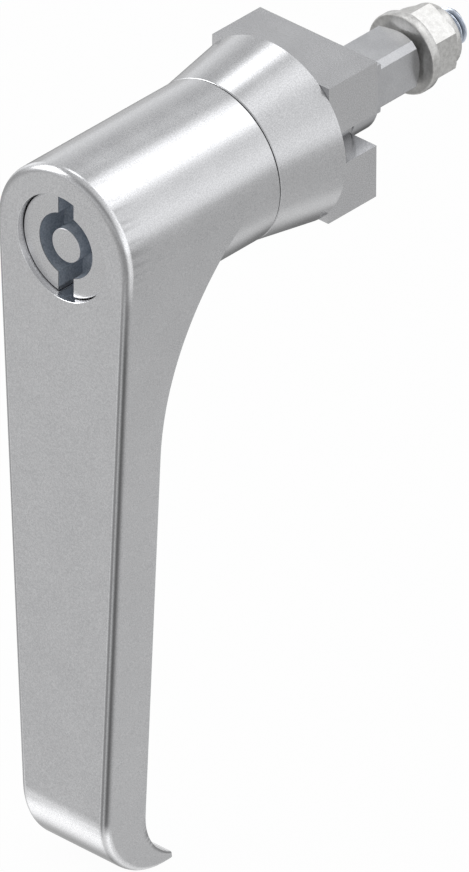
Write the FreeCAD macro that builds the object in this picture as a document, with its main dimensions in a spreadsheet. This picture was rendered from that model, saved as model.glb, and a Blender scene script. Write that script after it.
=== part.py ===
import FreeCAD, Part
import math
import os
import Sketcher
from FreeCAD import Placement, Rotation, Vector

# L-handle latch with a double-bit lock: a lever on a round neck turns a square spindle in a
# housing that sits in a square panel opening.  Millimetres, +Z up, the handle's front looks
# towards -Y, and the origin is on the spindle's axis in the plane where the panel's front lies.

SIZES = {
    # handle casting
    "neck_radius": 12.5,
    "handle_length": 31.45,
    "lever_thickness": 8.6,
    "lever_taper_deg": 2.64,
    "front_rim_radius": 1.3,
    "toe_radius": 13.0,
    "toe_centre_drop": 91.66,
    "tip_reach": 14.5,
    "tip_thickness": 1.2,
    "hook_radius": 10.0,
    "back_sweep_radius": 41.0,
    "back_sweep_drop": 33.5,
    "back_sweep_turn_deg": 57.3,
    "neck_edge_radius": 0.2,
    "plug_bore_radius": 8.2,
    "plug_bore_depth": 18.5,
    "socket_wall": 3.5,
    # housing casting
    "cone_length": 11.5,
    "cone_front_radius": 12.5,
    "cone_rear_radius": 14.3,
    "block_side": 22.0,
    "block_depth": 10.1,
    "web_thickness": 4.5,
    "clip_slot_floor": 6.1,
    "clip_slot_width": 5.3,
    # spindle
    "tenon_side": 7.0,
    "tenon_corner_radius": 4.4,
    "journal_radius": 5.1,
    "collar_radius": 6.6,
    "collar_length": 5.15,
    "square_side": 8.0,
    "sharp_square_length": 3.25,
    "plain_square_length": 8.55,
    "square_corner_chamfer": 0.92,
    "square_end_chamfer": 0.65,
    "stud_radius": 3.0,
    "stud_length": 11.2,
    "stud_chamfer": 0.5,
    "tapped_hole_radius": 2.0,
    "tapped_hole_depth": 9.0,
    # flange nut
    "nut_flats": 10.0,
    "nut_flange_radius": 6.2,
    "nut_flange_thickness": 1.7,
    "nut_hex_height": 4.0,
    "nut_crown_radius": 5.0,
    "nut_crown_height": 1.9,
    # lock plug
    "plug_recess": 1.0,
    "plug_length": 12.0,
    "plug_edge_radius": 0.6,
    "key_pin_radius": 2.62,
    "key_ring_radius": 5.0,
    "key_slot_width": 2.9,
    "key_depth": 5.0,
    "key_pin_root": 2.5,
    "plug_boss_radius": 4.7,
    "plug_boss_bore": 4.0,
    "plug_boss_length": 3.0,
    "snap_ring_wire": 0.5,
    "snap_ring_place": 9.0,
    "plug_seal_wire": 0.6,
    "plug_seal_place": 11.0,
    # lock cam and its clip
    "cam_outer_radius": 7.95,
    "cam_ramp_inner_radius": 5.4,
    "cam_plate": 1.0,
    "cam_ramp_base": 1.0,
    "cam_dog_width": 2.0,
    "clip_thickness": 0.5,
    "clip_width": 0.9,
    # lock bolt
    "bolt_offset": 6.4,
    "bolt_radius": 1.2,
    "bolt_head_radius": 1.6,
    "bolt_head_thickness": 1.2,
    "bolt_nose_radius": 0.8,
    "bolt_nose_height": 0.5,
    "bolt_travel": 3.0,
    "bolt_setback": 0.3,
    "bolt_spring_wire": 0.16,
    "bolt_spring_coils": 5.0,
    "bolt_spring_depth": 7.0,
    # spindle screw and washer
    "screw_radius": 2.0,
    "screw_length": 12.0,
    "screw_head_radius": 3.5,
    "screw_head_height": 4.0,
    "screw_hex": 3.0,
    "screw_hex_depth": 2.0,
    "washer_radius": 4.5,
    "washer_thickness": 0.8,
    # stop pin, detent and seals
    "stop_offset": 9.2,
    "stop_angle_deg": 25.0,
    "stop_pin_radius": 1.0,
    "stop_pin_depth": 6.0,
    "stop_pin_reach": 1.5,
    "detent_offset": 9.0,
    "detent_ball_radius": 1.5,
    "detent_ball_reach": 0.6,
    "detent_pocket_radius": 1.8,
    "detent_hole_depth": 9.0,
    "detent_spring_wire": 0.22,
    "detent_spring_coils": 5.0,
    "thrust_washer_thickness": 0.7,
    "spindle_seal_wire": 0.72,
    "spindle_seal_place": 4.0,
    "neck_seal_wire": 0.5,
    "neck_seal_radius": 11.5,
    # clearances
    "running_gap": 0.15,
    "turning_clearance": 0.05,
    "plug_clearance": 0.08,
    "loose_clearance": 0.15,
    "seal_clearance": 0.03,
    "fixed_clearance": 0.02,
}
QUARTER_TURN = 90.0

doc = FreeCAD.newDocument("l_handle_latch")
sheet = doc.addObject("Spreadsheet::Sheet", "Sizes")


class Size:
    """A length or angle that carries both its value and the sheet formula behind it."""

    def __init__(self, value, formula):
        self.value = float(value)
        self.formula = formula

    def _join(self, other, sign, value):
        return Size(value, f"({self.formula} {sign} {size(other).formula})")

    def __add__(self, other):
        return self._join(other, "+", self.value + size(other).value)

    def __sub__(self, other):
        return self._join(other, "-", self.value - size(other).value)

    def __mul__(self, other):
        return self._join(other, "*", self.value * size(other).value)

    def __truediv__(self, other):
        return self._join(other, "/", self.value / size(other).value)

    def __radd__(self, other):
        return size(other) + self

    def __rsub__(self, other):
        return size(other) - self

    def __rmul__(self, other):
        return size(other) * self

    def __neg__(self):
        return Size(-self.value, f"(0 - {self.formula})")


def size(number):
    """The number as a Size."""
    return number if isinstance(number, Size) else Size(number, repr(float(number)))


def root(number):
    """Square root of a Size."""
    return Size(math.sqrt(number.value), f"sqrt({number.formula})")


def cosine(angle):
    """Cosine of a Size in degrees."""
    return Size(math.cos(math.radians(angle.value)), f"cos({angle.formula})")


def sine(angle):
    """Sine of a Size in degrees."""
    return Size(math.sin(math.radians(angle.value)), f"sin({angle.formula})")


def leg(hypotenuse, other_leg):
    """The second short side of a right triangle."""
    return root(hypotenuse * hypotenuse - other_leg * other_leg)


class Dimensions:
    """Every driving dimension of the sheet, as an attribute that is a Size."""

    def __init__(self):
        for row, (name, value) in enumerate(SIZES.items(), start=1):
            sheet.set(f"A{row}", name)
            sheet.set(f"B{row}", str(value))
            sheet.setAlias(f"B{row}", name)
            setattr(self, name, Size(value, f"Sizes.{name}"))


d = Dimensions()
doc.recompute()

# Stations along the axis, from the front to the back
housing_front = -d.cone_length
handle_rear = housing_front - d.running_gap
handle_front = handle_rear - d.handle_length
bore_floor = handle_front + d.plug_bore_depth
socket_front = bore_floor + d.socket_wall
plug_front = handle_front + d.plug_recess
plug_rear = plug_front + d.plug_length
web_rear = housing_front + d.web_thickness
journal_front = web_rear + d.thrust_washer_thickness + d.turning_clearance
collar_front = d.block_depth + d.running_gap
collar_rear = collar_front + d.collar_length
sharp_square_rear = collar_rear + d.sharp_square_length
square_rear = sharp_square_rear + d.plain_square_length
stud_end = square_rear + d.stud_length
cam_face = plug_rear + d.cam_plate + d.cam_ramp_base
bolt_front = cam_face + d.turning_clearance
bolt_head_front = bolt_front + d.bolt_nose_height
bolt_head_rear = bolt_head_front + d.bolt_head_thickness
bolt_rear = handle_rear - d.bolt_setback
bolt_spring_seat = bore_floor + d.bolt_spring_depth

pieces = []


def bind(feature, **sizes):
    """Ties properties of a feature to their sheet formulas."""
    for name, value in sizes.items():
        feature.setExpression(name, size(value).formula)


def finished(feature, label):
    """Names a sub-part and puts it on the list of pieces."""
    feature.Label = label
    pieces.append(feature)
    return feature


def new_body(name):
    """An empty body whose origin planes are ready to be sketched on."""
    return doc.addObject("PartDesign::Body", name)


def new_sketch(body, name, role, offset=None):
    """A sketch on one of a body's own origin planes, moved along the plane's normal."""
    sketch = body.newObject("Sketcher::SketchObject", name)
    plane = next(plane for plane in body.Origin.OriginFeatures if plane.Role == role)
    sketch.AttachmentSupport = (plane, [""])
    sketch.MapMode = "FlatFace"
    if offset is not None:
        sketch.setExpression("AttachmentOffset.Base.z", offset.formula)
    return sketch


def cross_sketch(body, name, station):
    """A sketch across the axis at a station: its x is X, its y is Z and its normal is -Y."""
    return new_sketch(body, name, "XZ_Plane", -station)


def long_sketch(body, name):
    """A sketch along the axis: its x is Y, its y is Z and its normal is +X."""
    return new_sketch(body, name, "YZ_Plane")


def lock(sketch, geometry, end, across, up):
    """Holds one end of an edge at two sheet formulas."""
    for kind, axis, value in (("DistanceX", -2, across), ("DistanceY", -1, up)):
        if abs(value.value) < 1e-9:
            sketch.addConstraint(Sketcher.Constraint("PointOnObject", geometry, end, axis))
            continue
        index = sketch.addConstraint(
            Sketcher.Constraint(kind, -1, 1, geometry, end, value.value)
        )
        sketch.setExpression(f"Constraints[{index}]", value.formula)


def outline(sketch, corners):
    """A closed outline.

    Each corner is (across, up) or (across, up, arc), and the arc, a tuple of radius and
    side, shapes the edge that leaves the corner: side is 1 where the arc bulges to the
    left of the way it runs, and -1 where it bulges to the right.
    """
    corners = [(size(c[0]), size(c[1]), c[2] if len(c) > 2 else None) for c in corners]
    ends = []
    for place, (across, up, arc) in enumerate(corners):
        start = Vector(across.value, up.value, 0)
        following = corners[(place + 1) % len(corners)]
        stop = Vector(following[0].value, following[1].value, 0)
        if arc is None:
            edge = sketch.addGeometry(Part.LineSegment(start, stop))
            ends.append((edge, 1, 2))
        else:
            radius, side = arc
            chord = stop - start
            left = Vector(-chord.y, chord.x, 0).normalize()
            depth = math.sqrt(radius.value**2 - chord.Length**2 / 4)
            centre = (start + stop) * 0.5 - left * (depth * side)
            rim = Part.Circle(centre, Vector(0, 0, 1), radius.value)
            way = (start, stop) if side < 0 else (stop, start)
            angles = [math.atan2(end.y - centre.y, end.x - centre.x) for end in way]
            edge = sketch.addGeometry(Part.ArcOfCircle(rim, *angles))
            ends.append((edge, 1, 2) if side < 0 else (edge, 2, 1))
            index = sketch.addConstraint(Sketcher.Constraint("Radius", edge, radius.value))
            sketch.setExpression(f"Constraints[{index}]", radius.formula)
    for place, (edge, _, last) in enumerate(ends):
        onward = ends[(place + 1) % len(ends)]
        sketch.addConstraint(Sketcher.Constraint("Coincident", edge, last, onward[0], onward[1]))
    for (edge, first, _), (across, up, _) in zip(ends, corners):
        lock(sketch, edge, first, across, up)
    return sketch


def circle(sketch, radius, across=0.0, up=0.0):
    """A circle whose radius and centre follow the sheet."""
    across, up = size(across), size(up)
    shape = Part.Circle(Vector(across.value, up.value, 0), Vector(0, 0, 1), radius.value)
    edge = sketch.addGeometry(shape)
    index = sketch.addConstraint(Sketcher.Constraint("Radius", edge, radius.value))
    sketch.setExpression(f"Constraints[{index}]", radius.formula)
    lock(sketch, edge, 3, across, up)
    return sketch


def rectangle(sketch, left, right, low, high):
    """A rectangle between four sheet formulas."""
    return outline(sketch, [(left, low), (right, low), (right, high), (left, high)])


def pad(body, sketch, length):
    """Adds the sketch's area as a prism that runs towards +Y."""
    feature = body.newObject("PartDesign::Pad", f"{sketch.Name}_pad")
    feature.Profile = sketch
    feature.Reversed = True
    bind(feature, Length=length)
    return feature


def pocket(body, sketch, length):
    """Cuts the sketch's area as a prism that runs towards +Y."""
    feature = body.newObject("PartDesign::Pocket", f"{sketch.Name}_pocket")
    feature.Profile = sketch
    bind(feature, Length=length)
    return feature


def side_pocket(body, sketch, length):
    """Cuts the sketch's area on both sides of its plane."""
    feature = body.newObject("PartDesign::Pocket", f"{sketch.Name}_pocket")
    feature.Profile = sketch
    feature.Midplane = True
    bind(feature, Length=length)
    return feature


def revolve(body, sketch, cut=False):
    """Turns a long sketch about the axis, as material or as a groove."""
    kind = "PartDesign::Groove" if cut else "PartDesign::Revolution"
    feature = body.newObject(kind, f"{sketch.Name}_turned")
    feature.Profile = sketch
    feature.ReferenceAxis = (sketch, ["H_Axis"])
    feature.Angle = 360.0
    return feature


def edges_where(shape, test):
    """Names of the edges of a shape that pass a test."""
    return [f"Edge{place}" for place, edge in enumerate(shape.Edges, start=1) if test(edge)]


def fillet(body, base, edge_names, radius):
    """Rounds named edges of a feature."""
    feature = body.newObject("PartDesign::Fillet", f"{base.Name}_round")
    feature.Base = (base, edge_names)
    bind(feature, Radius=radius)
    return feature


def turned(label, profile):
    """A piece turned from one closed profile of (station, radius) corners."""
    body = new_body(label)
    revolve(body, outline(long_sketch(body, f"{label}_profile"), profile))
    return finished(body, label)


def ring(label, wire, radius, station, sweep=360.0):
    """A round-wire ring about the axis."""
    feature = doc.addObject("Part::Torus", label)
    bind(feature, Radius1=radius, Radius2=wire)
    feature.Angle3 = sweep
    feature.Placement = Placement(Vector(), Rotation(Vector(1, 0, 0), -90))
    feature.setExpression("Placement.Base.y", station.formula)
    return finished(feature, label)


def in_line(edge, low, high):
    """True where a whole edge lies between two stations."""
    box = edge.BoundBox
    return box.YMin > low - 1e-4 and box.YMax < high + 1e-4


def build_handle():
    """The lever and neck casting, bored for the lock and the spindle."""
    body = new_body("handle")
    lean_in = sine(d.lever_taper_deg) / cosine(d.lever_taper_deg)
    shoulder_x = d.neck_radius * cosine(d.lever_taper_deg)
    shoulder_z = -(d.neck_radius * sine(d.lever_taper_deg))
    foot_z = -(d.toe_centre_drop + d.toe_radius + 1.0)
    foot_x = shoulder_x - (shoulder_z - foot_z) * lean_in
    front = outline(
        cross_sketch(body, "lever_front", handle_front),
        [
            (-shoulder_x, shoulder_z),
            (-foot_x, foot_z),
            (foot_x, foot_z),
            (shoulder_x, shoulder_z),
        ],
    )
    blank_depth = d.handle_length - 1.0
    pad(body, front, blank_depth)

    toe_z = -d.toe_centre_drop
    tip_low = toe_z - leg(d.toe_radius, d.tip_reach - d.toe_radius)
    tip_high = tip_low + d.tip_thickness
    hook_z = tip_high + leg(d.hook_radius, d.lever_thickness + d.hook_radius - d.tip_reach)
    sweep_z = -d.back_sweep_drop
    sweep_top = sweep_z + d.back_sweep_radius * sine(d.back_sweep_turn_deg)
    sweep_y = d.lever_thickness + d.back_sweep_radius
    sweep_top_y = sweep_y - d.back_sweep_radius * cosine(d.back_sweep_turn_deg)
    back_y = handle_front + d.lever_thickness
    clear_y = handle_front + blank_depth + 5.0
    clear_z = foot_z - 5.0
    waste = outline(
        long_sketch(body, "lever_side"),
        [
            (handle_front, toe_z, (d.toe_radius, -1)),
            (handle_front + d.tip_reach, tip_low),
            (handle_front + d.tip_reach, tip_high, (d.hook_radius, 1)),
            (back_y, hook_z),
            (back_y, sweep_z, (d.back_sweep_radius, 1)),
            (handle_front + sweep_top_y, sweep_top),
            (clear_y, sweep_top),
            (clear_y, clear_z),
            (handle_front - 5.0, clear_z),
            (handle_front - 5.0, toe_z),
        ],
    )
    side_pocket(body, waste, 4.0 * d.neck_radius)

    neck = pad(body, circle(cross_sketch(body, "neck", handle_front), d.neck_radius), d.handle_length)
    doc.recompute()

    start = handle_front.value
    half_width = d.neck_radius.value

    # the rounded rim runs round the front face and down both edges of the toe
    def on_front_rim(edge):
        box = edge.BoundBox
        flat_on_front = in_line(edge, start, start) and box.XLength + box.ZLength > 1.0
        across_toe = flat_on_front and box.ZLength < 0.01
        toe_side = box.ZMax < toe_z.value + 0.01 and box.YMin < start + 0.01 and box.YLength > 2.0
        return (flat_on_front and not across_toe) or toe_side

    rim = fillet(body, neck, edges_where(neck.Shape, on_front_rim), d.front_rim_radius)
    doc.recompute()

    rear = handle_rear.value
    rear_edges = edges_where(
        rim.Shape,
        lambda edge: in_line(edge, rear, rear) and edge.BoundBox.XLength > 1.9 * half_width,
    )
    fillet(body, rim, rear_edges, d.neck_edge_radius)

    groove_front = handle_front + d.snap_ring_place - d.snap_ring_wire
    groove_rear = handle_front + d.snap_ring_place + d.snap_ring_wire
    revolve(
        body,
        outline(
            long_sketch(body, "lock_bore"),
            [
                (handle_front - 1.0, 0.0),
                (handle_front - 1.0, d.plug_bore_radius),
                (groove_front, d.plug_bore_radius),
                (groove_front, d.plug_bore_radius + d.snap_ring_wire),
                (groove_rear, d.plug_bore_radius + d.snap_ring_wire),
                (groove_rear, d.plug_bore_radius),
                (bore_floor, d.plug_bore_radius),
                (bore_floor, d.screw_radius + d.loose_clearance),
                (socket_front + 1.0, d.screw_radius + d.loose_clearance),
                (socket_front + 1.0, 0.0),
            ],
        ),
        cut=True,
    )
    half = d.tenon_side * 0.5 + d.turning_clearance
    socket = rectangle(cross_sketch(body, "spindle_socket", socket_front), -half, half, -half, half)
    pocket(body, socket, handle_rear - socket_front + 1.0)

    bolt_hole = circle(
        cross_sketch(body, "bolt_hole", bore_floor - 1.0), d.bolt_radius + d.turning_clearance, 0.0, -d.bolt_offset
    )
    pocket(body, bolt_hole, handle_rear - bore_floor + 2.0)
    spring_hole = circle(
        cross_sketch(body, "bolt_spring_hole", bore_floor),
        d.bolt_head_radius + d.turning_clearance,
        0.0,
        -d.bolt_offset,
    )
    pocket(body, spring_hole, d.bolt_spring_depth)

    detent_hole = circle(
        cross_sketch(body, "detent_hole", handle_rear - d.detent_hole_depth),
        d.detent_ball_radius + d.turning_clearance,
        0.0,
        d.detent_offset,
    )
    pocket(body, detent_hole, d.detent_hole_depth + 1.0)
    pin_x = d.stop_offset * cosine(d.stop_angle_deg)
    pin_z = -(d.stop_offset * sine(d.stop_angle_deg))
    pin_hole = circle(
        cross_sketch(body, "stop_pin_hole", handle_rear - d.stop_pin_depth), d.stop_pin_radius, pin_x, pin_z
    )
    pocket(body, pin_hole, d.stop_pin_depth + 1.0)

    seal_half = d.neck_seal_wire + d.seal_clearance
    seal_floor = handle_rear - d.neck_seal_wire * 2.0 + d.running_gap - d.seal_clearance * 2.0
    revolve(
        body,
        rectangle(
            long_sketch(body, "neck_seal_groove"),
            seal_floor,
            handle_rear + 1.0,
            d.neck_seal_radius - seal_half,
            d.neck_seal_radius + seal_half,
        ),
        cut=True,
    )
    return finished(body, "handle")


def arc_track(body, name, offset, half_width, begin, finish, depth):
    """A round-ended curved slot about the axis, cut into the housing's front.

    The angles are those of the sketch, in degrees, with begin below finish.
    """
    begin, finish = size(begin), size(finish)
    inner, outer = offset - half_width, offset + half_width
    track = outline(
        cross_sketch(body, name, housing_front),
        [
            (outer * cosine(begin), outer * sine(begin), (outer, -1)),
            (outer * cosine(finish), outer * sine(finish)),
            (inner * cosine(finish), inner * sine(finish), (inner, 1)),
            (inner * cosine(begin), inner * sine(begin)),
        ],
    )
    pocket(body, track, depth)
    for place, angle in (("begin", begin), ("finish", finish)):
        sketch = cross_sketch(body, f"{name}_{place}", housing_front)
        end = circle(sketch, half_width, offset * cosine(angle), offset * sine(angle))
        pocket(body, end, depth)


def build_housing():
    """The fixed casting: a cone in front of the panel and a square block that goes through it."""
    body = new_body("housing_blank")
    revolve(
        body,
        outline(
            long_sketch(body, "cone"),
            [
                (housing_front, 0.0),
                (housing_front, d.cone_front_radius),
                (0.0, d.cone_rear_radius),
                (0.0, 0.0),
            ],
        ),
    )
    half = d.block_side * 0.5
    block = pad(
        body, rectangle(cross_sketch(body, "block", size(0.0)), -half, half, -half, half), d.block_depth
    )
    doc.recompute()

    front = housing_front.value
    rounded = edges_where(block.Shape, lambda edge: in_line(edge, front, front))
    fillet(body, block, rounded, d.neck_edge_radius)

    revolve(
        body,
        outline(
            long_sketch(body, "spindle_bore"),
            [
                (housing_front - 1.0, 0.0),
                (housing_front - 1.0, d.tenon_corner_radius + d.loose_clearance),
                (web_rear, d.tenon_corner_radius + d.loose_clearance),
                (web_rear, d.journal_radius + d.turning_clearance),
                (d.block_depth + 1.0, d.journal_radius + d.turning_clearance),
                (d.block_depth + 1.0, 0.0),
            ],
        ),
        cut=True,
    )
    slot_half = d.clip_slot_width * 0.5
    for name, inner, outer in (
        ("clip_slot_right", d.clip_slot_floor, half + 1.0),
        ("clip_slot_left", -(half + 1.0), -d.clip_slot_floor),
    ):
        slot = rectangle(cross_sketch(body, name, size(0.0)), inner, outer, -slot_half, slot_half)
        pocket(body, slot, d.block_depth + 1.0)

    lock_hole_depth = d.bolt_travel - d.bolt_setback - d.running_gap + 1.0
    hole_radius = d.bolt_radius + d.loose_clearance
    for name, across, up in (
        ("lock_hole_shut", size(0.0), -d.bolt_offset),
        ("lock_hole_open", -d.bolt_offset, size(0.0)),
    ):
        hole = circle(cross_sketch(body, name, housing_front), hole_radius, across, up)
        pocket(body, hole, lock_hole_depth)

    arc_track(
        body,
        "stop_track",
        d.stop_offset,
        d.stop_pin_radius + d.loose_clearance,
        -(d.stop_angle_deg + QUARTER_TURN),
        -d.stop_angle_deg,
        d.stop_pin_reach - d.running_gap + 0.3,
    )

    ball_depth = d.detent_ball_reach + d.turning_clearance
    sink = d.detent_ball_radius - d.detent_ball_reach
    ball_width = leg(d.detent_ball_radius + d.turning_clearance, sink - d.turning_clearance)
    arc_track(body, "detent_track", d.detent_offset, ball_width, 0.0, QUARTER_TURN, ball_depth)
    return finished(dimple(body), "housing")


def dimple(body):
    """Presses the detent's two round dimples into the housing's front."""
    centre_y = housing_front + d.detent_ball_reach - d.detent_ball_radius
    balls = []
    for name, across, up in (
        ("dimple_shut", size(0.0), d.detent_offset),
        ("dimple_open", d.detent_offset, size(0.0)),
    ):
        ball = doc.addObject("Part::Sphere", name)
        bind(ball, Radius=d.detent_pocket_radius)
        ball.setExpression("Placement.Base.x", across.formula)
        ball.setExpression("Placement.Base.y", centre_y.formula)
        ball.setExpression("Placement.Base.z", up.formula)
        balls.append(ball)
    pressed = body
    for ball in balls:
        cut = doc.addObject("Part::Cut", f"housing_{ball.Name}")
        cut.Base = pressed
        cut.Tool = ball
        pressed = cut
    return pressed


def build_spindle():
    """The square spindle: tenon, journal, collar, square and threaded end."""
    body = new_body("spindle")
    tenon_front = socket_front + d.turning_clearance * 2.0
    seal_half = d.spindle_seal_wire + d.seal_clearance
    seal_floor = d.journal_radius - d.spindle_seal_wire * 2.0 - d.seal_clearance
    revolve(
        body,
        outline(
            long_sketch(body, "turned_form"),
            [
                (tenon_front, 0.0),
                (tenon_front, d.tenon_corner_radius),
                (journal_front, d.tenon_corner_radius),
                (journal_front, d.journal_radius),
                (d.spindle_seal_place - seal_half, d.journal_radius),
                (d.spindle_seal_place - seal_half, seal_floor),
                (d.spindle_seal_place + seal_half, seal_floor),
                (d.spindle_seal_place + seal_half, d.journal_radius),
                (collar_front, d.journal_radius),
                (collar_front, d.collar_radius),
                (collar_rear, d.collar_radius),
                (collar_rear, d.stud_radius),
                (stud_end - d.stud_chamfer, d.stud_radius),
                (stud_end, d.stud_radius - d.stud_chamfer),
                (stud_end, 0.0),
            ],
        ),
    )
    # flats mill the tenon square, leaving its turned corners
    reach = d.tenon_corner_radius + 1.0
    half_tenon = d.tenon_side * 0.5
    for name, left, right, low, high in (
        ("flat_right", half_tenon, reach, -reach, reach),
        ("flat_left", -reach, -half_tenon, -reach, reach),
        ("flat_top", -reach, reach, half_tenon, reach),
        ("flat_bottom", -reach, reach, -reach, -half_tenon),
    ):
        flat = rectangle(cross_sketch(body, name, tenon_front), left, right, low, high)
        pocket(body, flat, journal_front - tenon_front)

    half = d.square_side * 0.5
    sharp = rectangle(cross_sketch(body, "sharp_square", collar_rear), -half, half, -half, half)
    pad(body, sharp, d.sharp_square_length)
    corner = half - d.square_corner_chamfer
    plain = outline(
        cross_sketch(body, "plain_square", sharp_square_rear),
        [
            (-corner, -half),
            (corner, -half),
            (half, -corner),
            (half, corner),
            (corner, half),
            (-corner, half),
            (-half, corner),
            (-half, -corner),
        ],
    )
    pad(body, plain, d.plain_square_length)
    # a steep cone turns the end of the square
    cone_rise = 1.6
    corner_reach = root(half * half + corner * corner)
    revolve(
        body,
        outline(
            long_sketch(body, "end_cone"),
            [
                (square_rear - d.square_end_chamfer * cone_rise, corner_reach),
                (square_rear, corner_reach - d.square_end_chamfer * cone_rise * cone_rise),
                (square_rear, corner_reach + 1.0),
                (square_rear - d.square_end_chamfer * cone_rise, corner_reach + 1.0),
            ],
        ),
        cut=True,
    )
    tapped_radius = d.tapped_hole_radius + d.fixed_clearance
    tapped = circle(cross_sketch(body, "tapped_hole", tenon_front), tapped_radius)
    pocket(body, tapped, d.tapped_hole_depth + d.screw_length * 0.1)
    return finished(body, "spindle")


def build_flange_nut():
    """The hexagon nut with its round flange in front and its domed locking crown behind."""
    body = new_body("flange_nut")
    start = square_rear + d.turning_clearance
    flange_rear = start + d.nut_flange_thickness
    hex_rear = flange_rear + d.nut_hex_height
    crown_rear = hex_rear + d.nut_crown_height
    edge = 0.3
    dome = 0.5
    revolve(
        body,
        outline(
            long_sketch(body, "flange_and_crown"),
            [
                (start, 0.0),
                (start, d.nut_flange_radius - edge),
                (start + edge, d.nut_flange_radius),
                (flange_rear - edge, d.nut_flange_radius),
                (flange_rear + edge, d.nut_crown_radius),
                (crown_rear - dome * 2.0, d.nut_crown_radius - 0.1),
                (crown_rear, d.nut_crown_radius - dome),
                (crown_rear, 0.0),
            ],
        ),
    )
    half = d.nut_flats * 0.5
    corner = d.nut_flats / root(size(3.0))
    hexagon = outline(
        cross_sketch(body, "hexagon", start + d.nut_flange_thickness * 0.5),
        [
            (half, corner * 0.5),
            (0.0, corner),
            (-half, corner * 0.5),
            (-half, -(corner * 0.5)),
            (0.0, -corner),
            (half, -(corner * 0.5)),
        ],
    )
    pad(body, hexagon, hex_rear - start - d.nut_flange_thickness * 0.5)
    near = hex_rear - edge
    revolve(
        body,
        outline(
            long_sketch(body, "rear_chamfer"),
            [
                (near, corner),
                (hex_rear, corner - edge * 2.0),
                (hex_rear, corner + 1.0),
                (near, corner + 1.0),
            ],
        ),
        cut=True,
    )
    bore = circle(cross_sketch(body, "nut_bore", start), d.stud_radius + d.fixed_clearance)
    pocket(body, bore, crown_rear - start + 1.0)
    return finished(body, "flange_nut")


def build_lock_plug():
    """The double-bit plug: a ring groove round the key pin, a slot across it, a boss behind."""
    body = new_body("lock_plug")
    radius = d.plug_bore_radius - d.plug_clearance
    snap = handle_front + d.snap_ring_place
    seal = handle_front + d.plug_seal_place
    snap_half = d.snap_ring_wire + d.seal_clearance
    seal_half = d.plug_seal_wire + d.seal_clearance
    seal_floor = radius - d.plug_seal_wire * 2.0
    boss_rear = plug_rear + d.plug_boss_length
    clip_front = plug_rear + d.cam_plate + d.turning_clearance
    clip_rear = clip_front + d.clip_thickness + d.turning_clearance
    edge = d.plug_edge_radius
    profile = [
        (plug_front, 0.0),
        (plug_front, radius - edge, (edge, 1)),
        (plug_front + edge, radius),
        (snap - snap_half, radius),
        (snap - snap_half, radius - d.snap_ring_wire),
        (snap + snap_half, radius - d.snap_ring_wire),
        (snap + snap_half, radius),
        (seal - seal_half, radius),
        (seal - seal_half, seal_floor),
        (seal + seal_half, seal_floor),
        (seal + seal_half, radius),
        (plug_rear, radius),
        (plug_rear, d.plug_boss_radius),
        (clip_front, d.plug_boss_radius),
        (clip_front, d.plug_boss_radius - d.clip_width * 0.5),
        (clip_rear, d.plug_boss_radius - d.clip_width * 0.5),
        (clip_rear, d.plug_boss_radius),
        (boss_rear, d.plug_boss_radius),
        (boss_rear, d.plug_boss_bore),
        (plug_rear - 0.5, d.plug_boss_bore),
        (plug_rear - 0.5, 0.0),
    ]
    revolve(body, outline(long_sketch(body, "plug_form"), profile))
    key_floor = plug_front + d.key_depth
    revolve(
        body,
        rectangle(long_sketch(body, "key_ring"), plug_front - 1.0, key_floor, 0.0, d.key_ring_radius),
        cut=True,
    )
    half = d.key_slot_width * 0.5
    slot = rectangle(cross_sketch(body, "key_slot", plug_front - 1.0), -half, half, -radius - 1.0, radius + 1.0)
    pocket(body, slot, d.key_depth + 1.0)
    pin_seat = circle(cross_sketch(body, "pin_seat", key_floor), d.key_pin_radius + d.fixed_clearance)
    pocket(body, pin_seat, d.key_pin_root)
    # two dogs on the plug's rear face turn the cam
    dog = d.cam_dog_width * 0.5
    for name, left, right in (
        ("dog_right", d.plug_boss_radius - 0.2, d.cam_outer_radius),
        ("dog_left", -d.cam_outer_radius, -(d.plug_boss_radius - 0.2)),
    ):
        shape = rectangle(cross_sketch(body, name, plug_rear), left, right, -dog, dog)
        pad(body, shape, d.cam_plate * 0.8)
    return finished(body, "lock_plug")


def build_key_pin():
    """The round pin in the middle of the plug that the hollow key slides over."""
    key_floor = plug_front + d.key_depth
    edge = 0.1
    return turned(
        "key_pin",
        [
            (plug_front, 0.0),
            (plug_front, d.key_pin_radius - edge),
            (plug_front + edge, d.key_pin_radius),
            (key_floor + d.key_pin_root, d.key_pin_radius),
            (key_floor + d.key_pin_root, 0.0),
        ],
    )


def build_lock_cam():
    """The face cam behind the plug: a slotted plate that carries one helical ramp."""
    body = new_body("cam_plate_body")
    plate_rear = plug_rear + d.cam_plate
    base_rear = cam_face
    inner = d.plug_boss_radius + d.turning_clearance
    revolve(
        body,
        outline(
            long_sketch(body, "cam_form"),
            [
                (plug_rear, inner),
                (plug_rear, d.cam_outer_radius),
                (base_rear, d.cam_outer_radius),
                (base_rear, d.cam_ramp_inner_radius),
                (plate_rear, d.cam_ramp_inner_radius),
                (plate_rear, inner),
            ],
        ),
    )
    dog = d.cam_dog_width * 0.5 + d.turning_clearance
    reach = d.cam_outer_radius + 1.0
    slot = rectangle(cross_sketch(body, "dog_slot", plug_rear), -reach, reach, -dog, dog)
    pocket(body, slot, d.cam_plate * 0.8 + d.turning_clearance)
    doc.recompute()

    ramp = doc.addObject("Part::Feature", "cam_ramp")
    ramp.Shape = helical_ramp()
    whole = doc.addObject("Part::Fuse", "lock_cam")
    whole.Base = body
    whole.Tool = ramp
    return finished(whole, "lock_cam")


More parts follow.
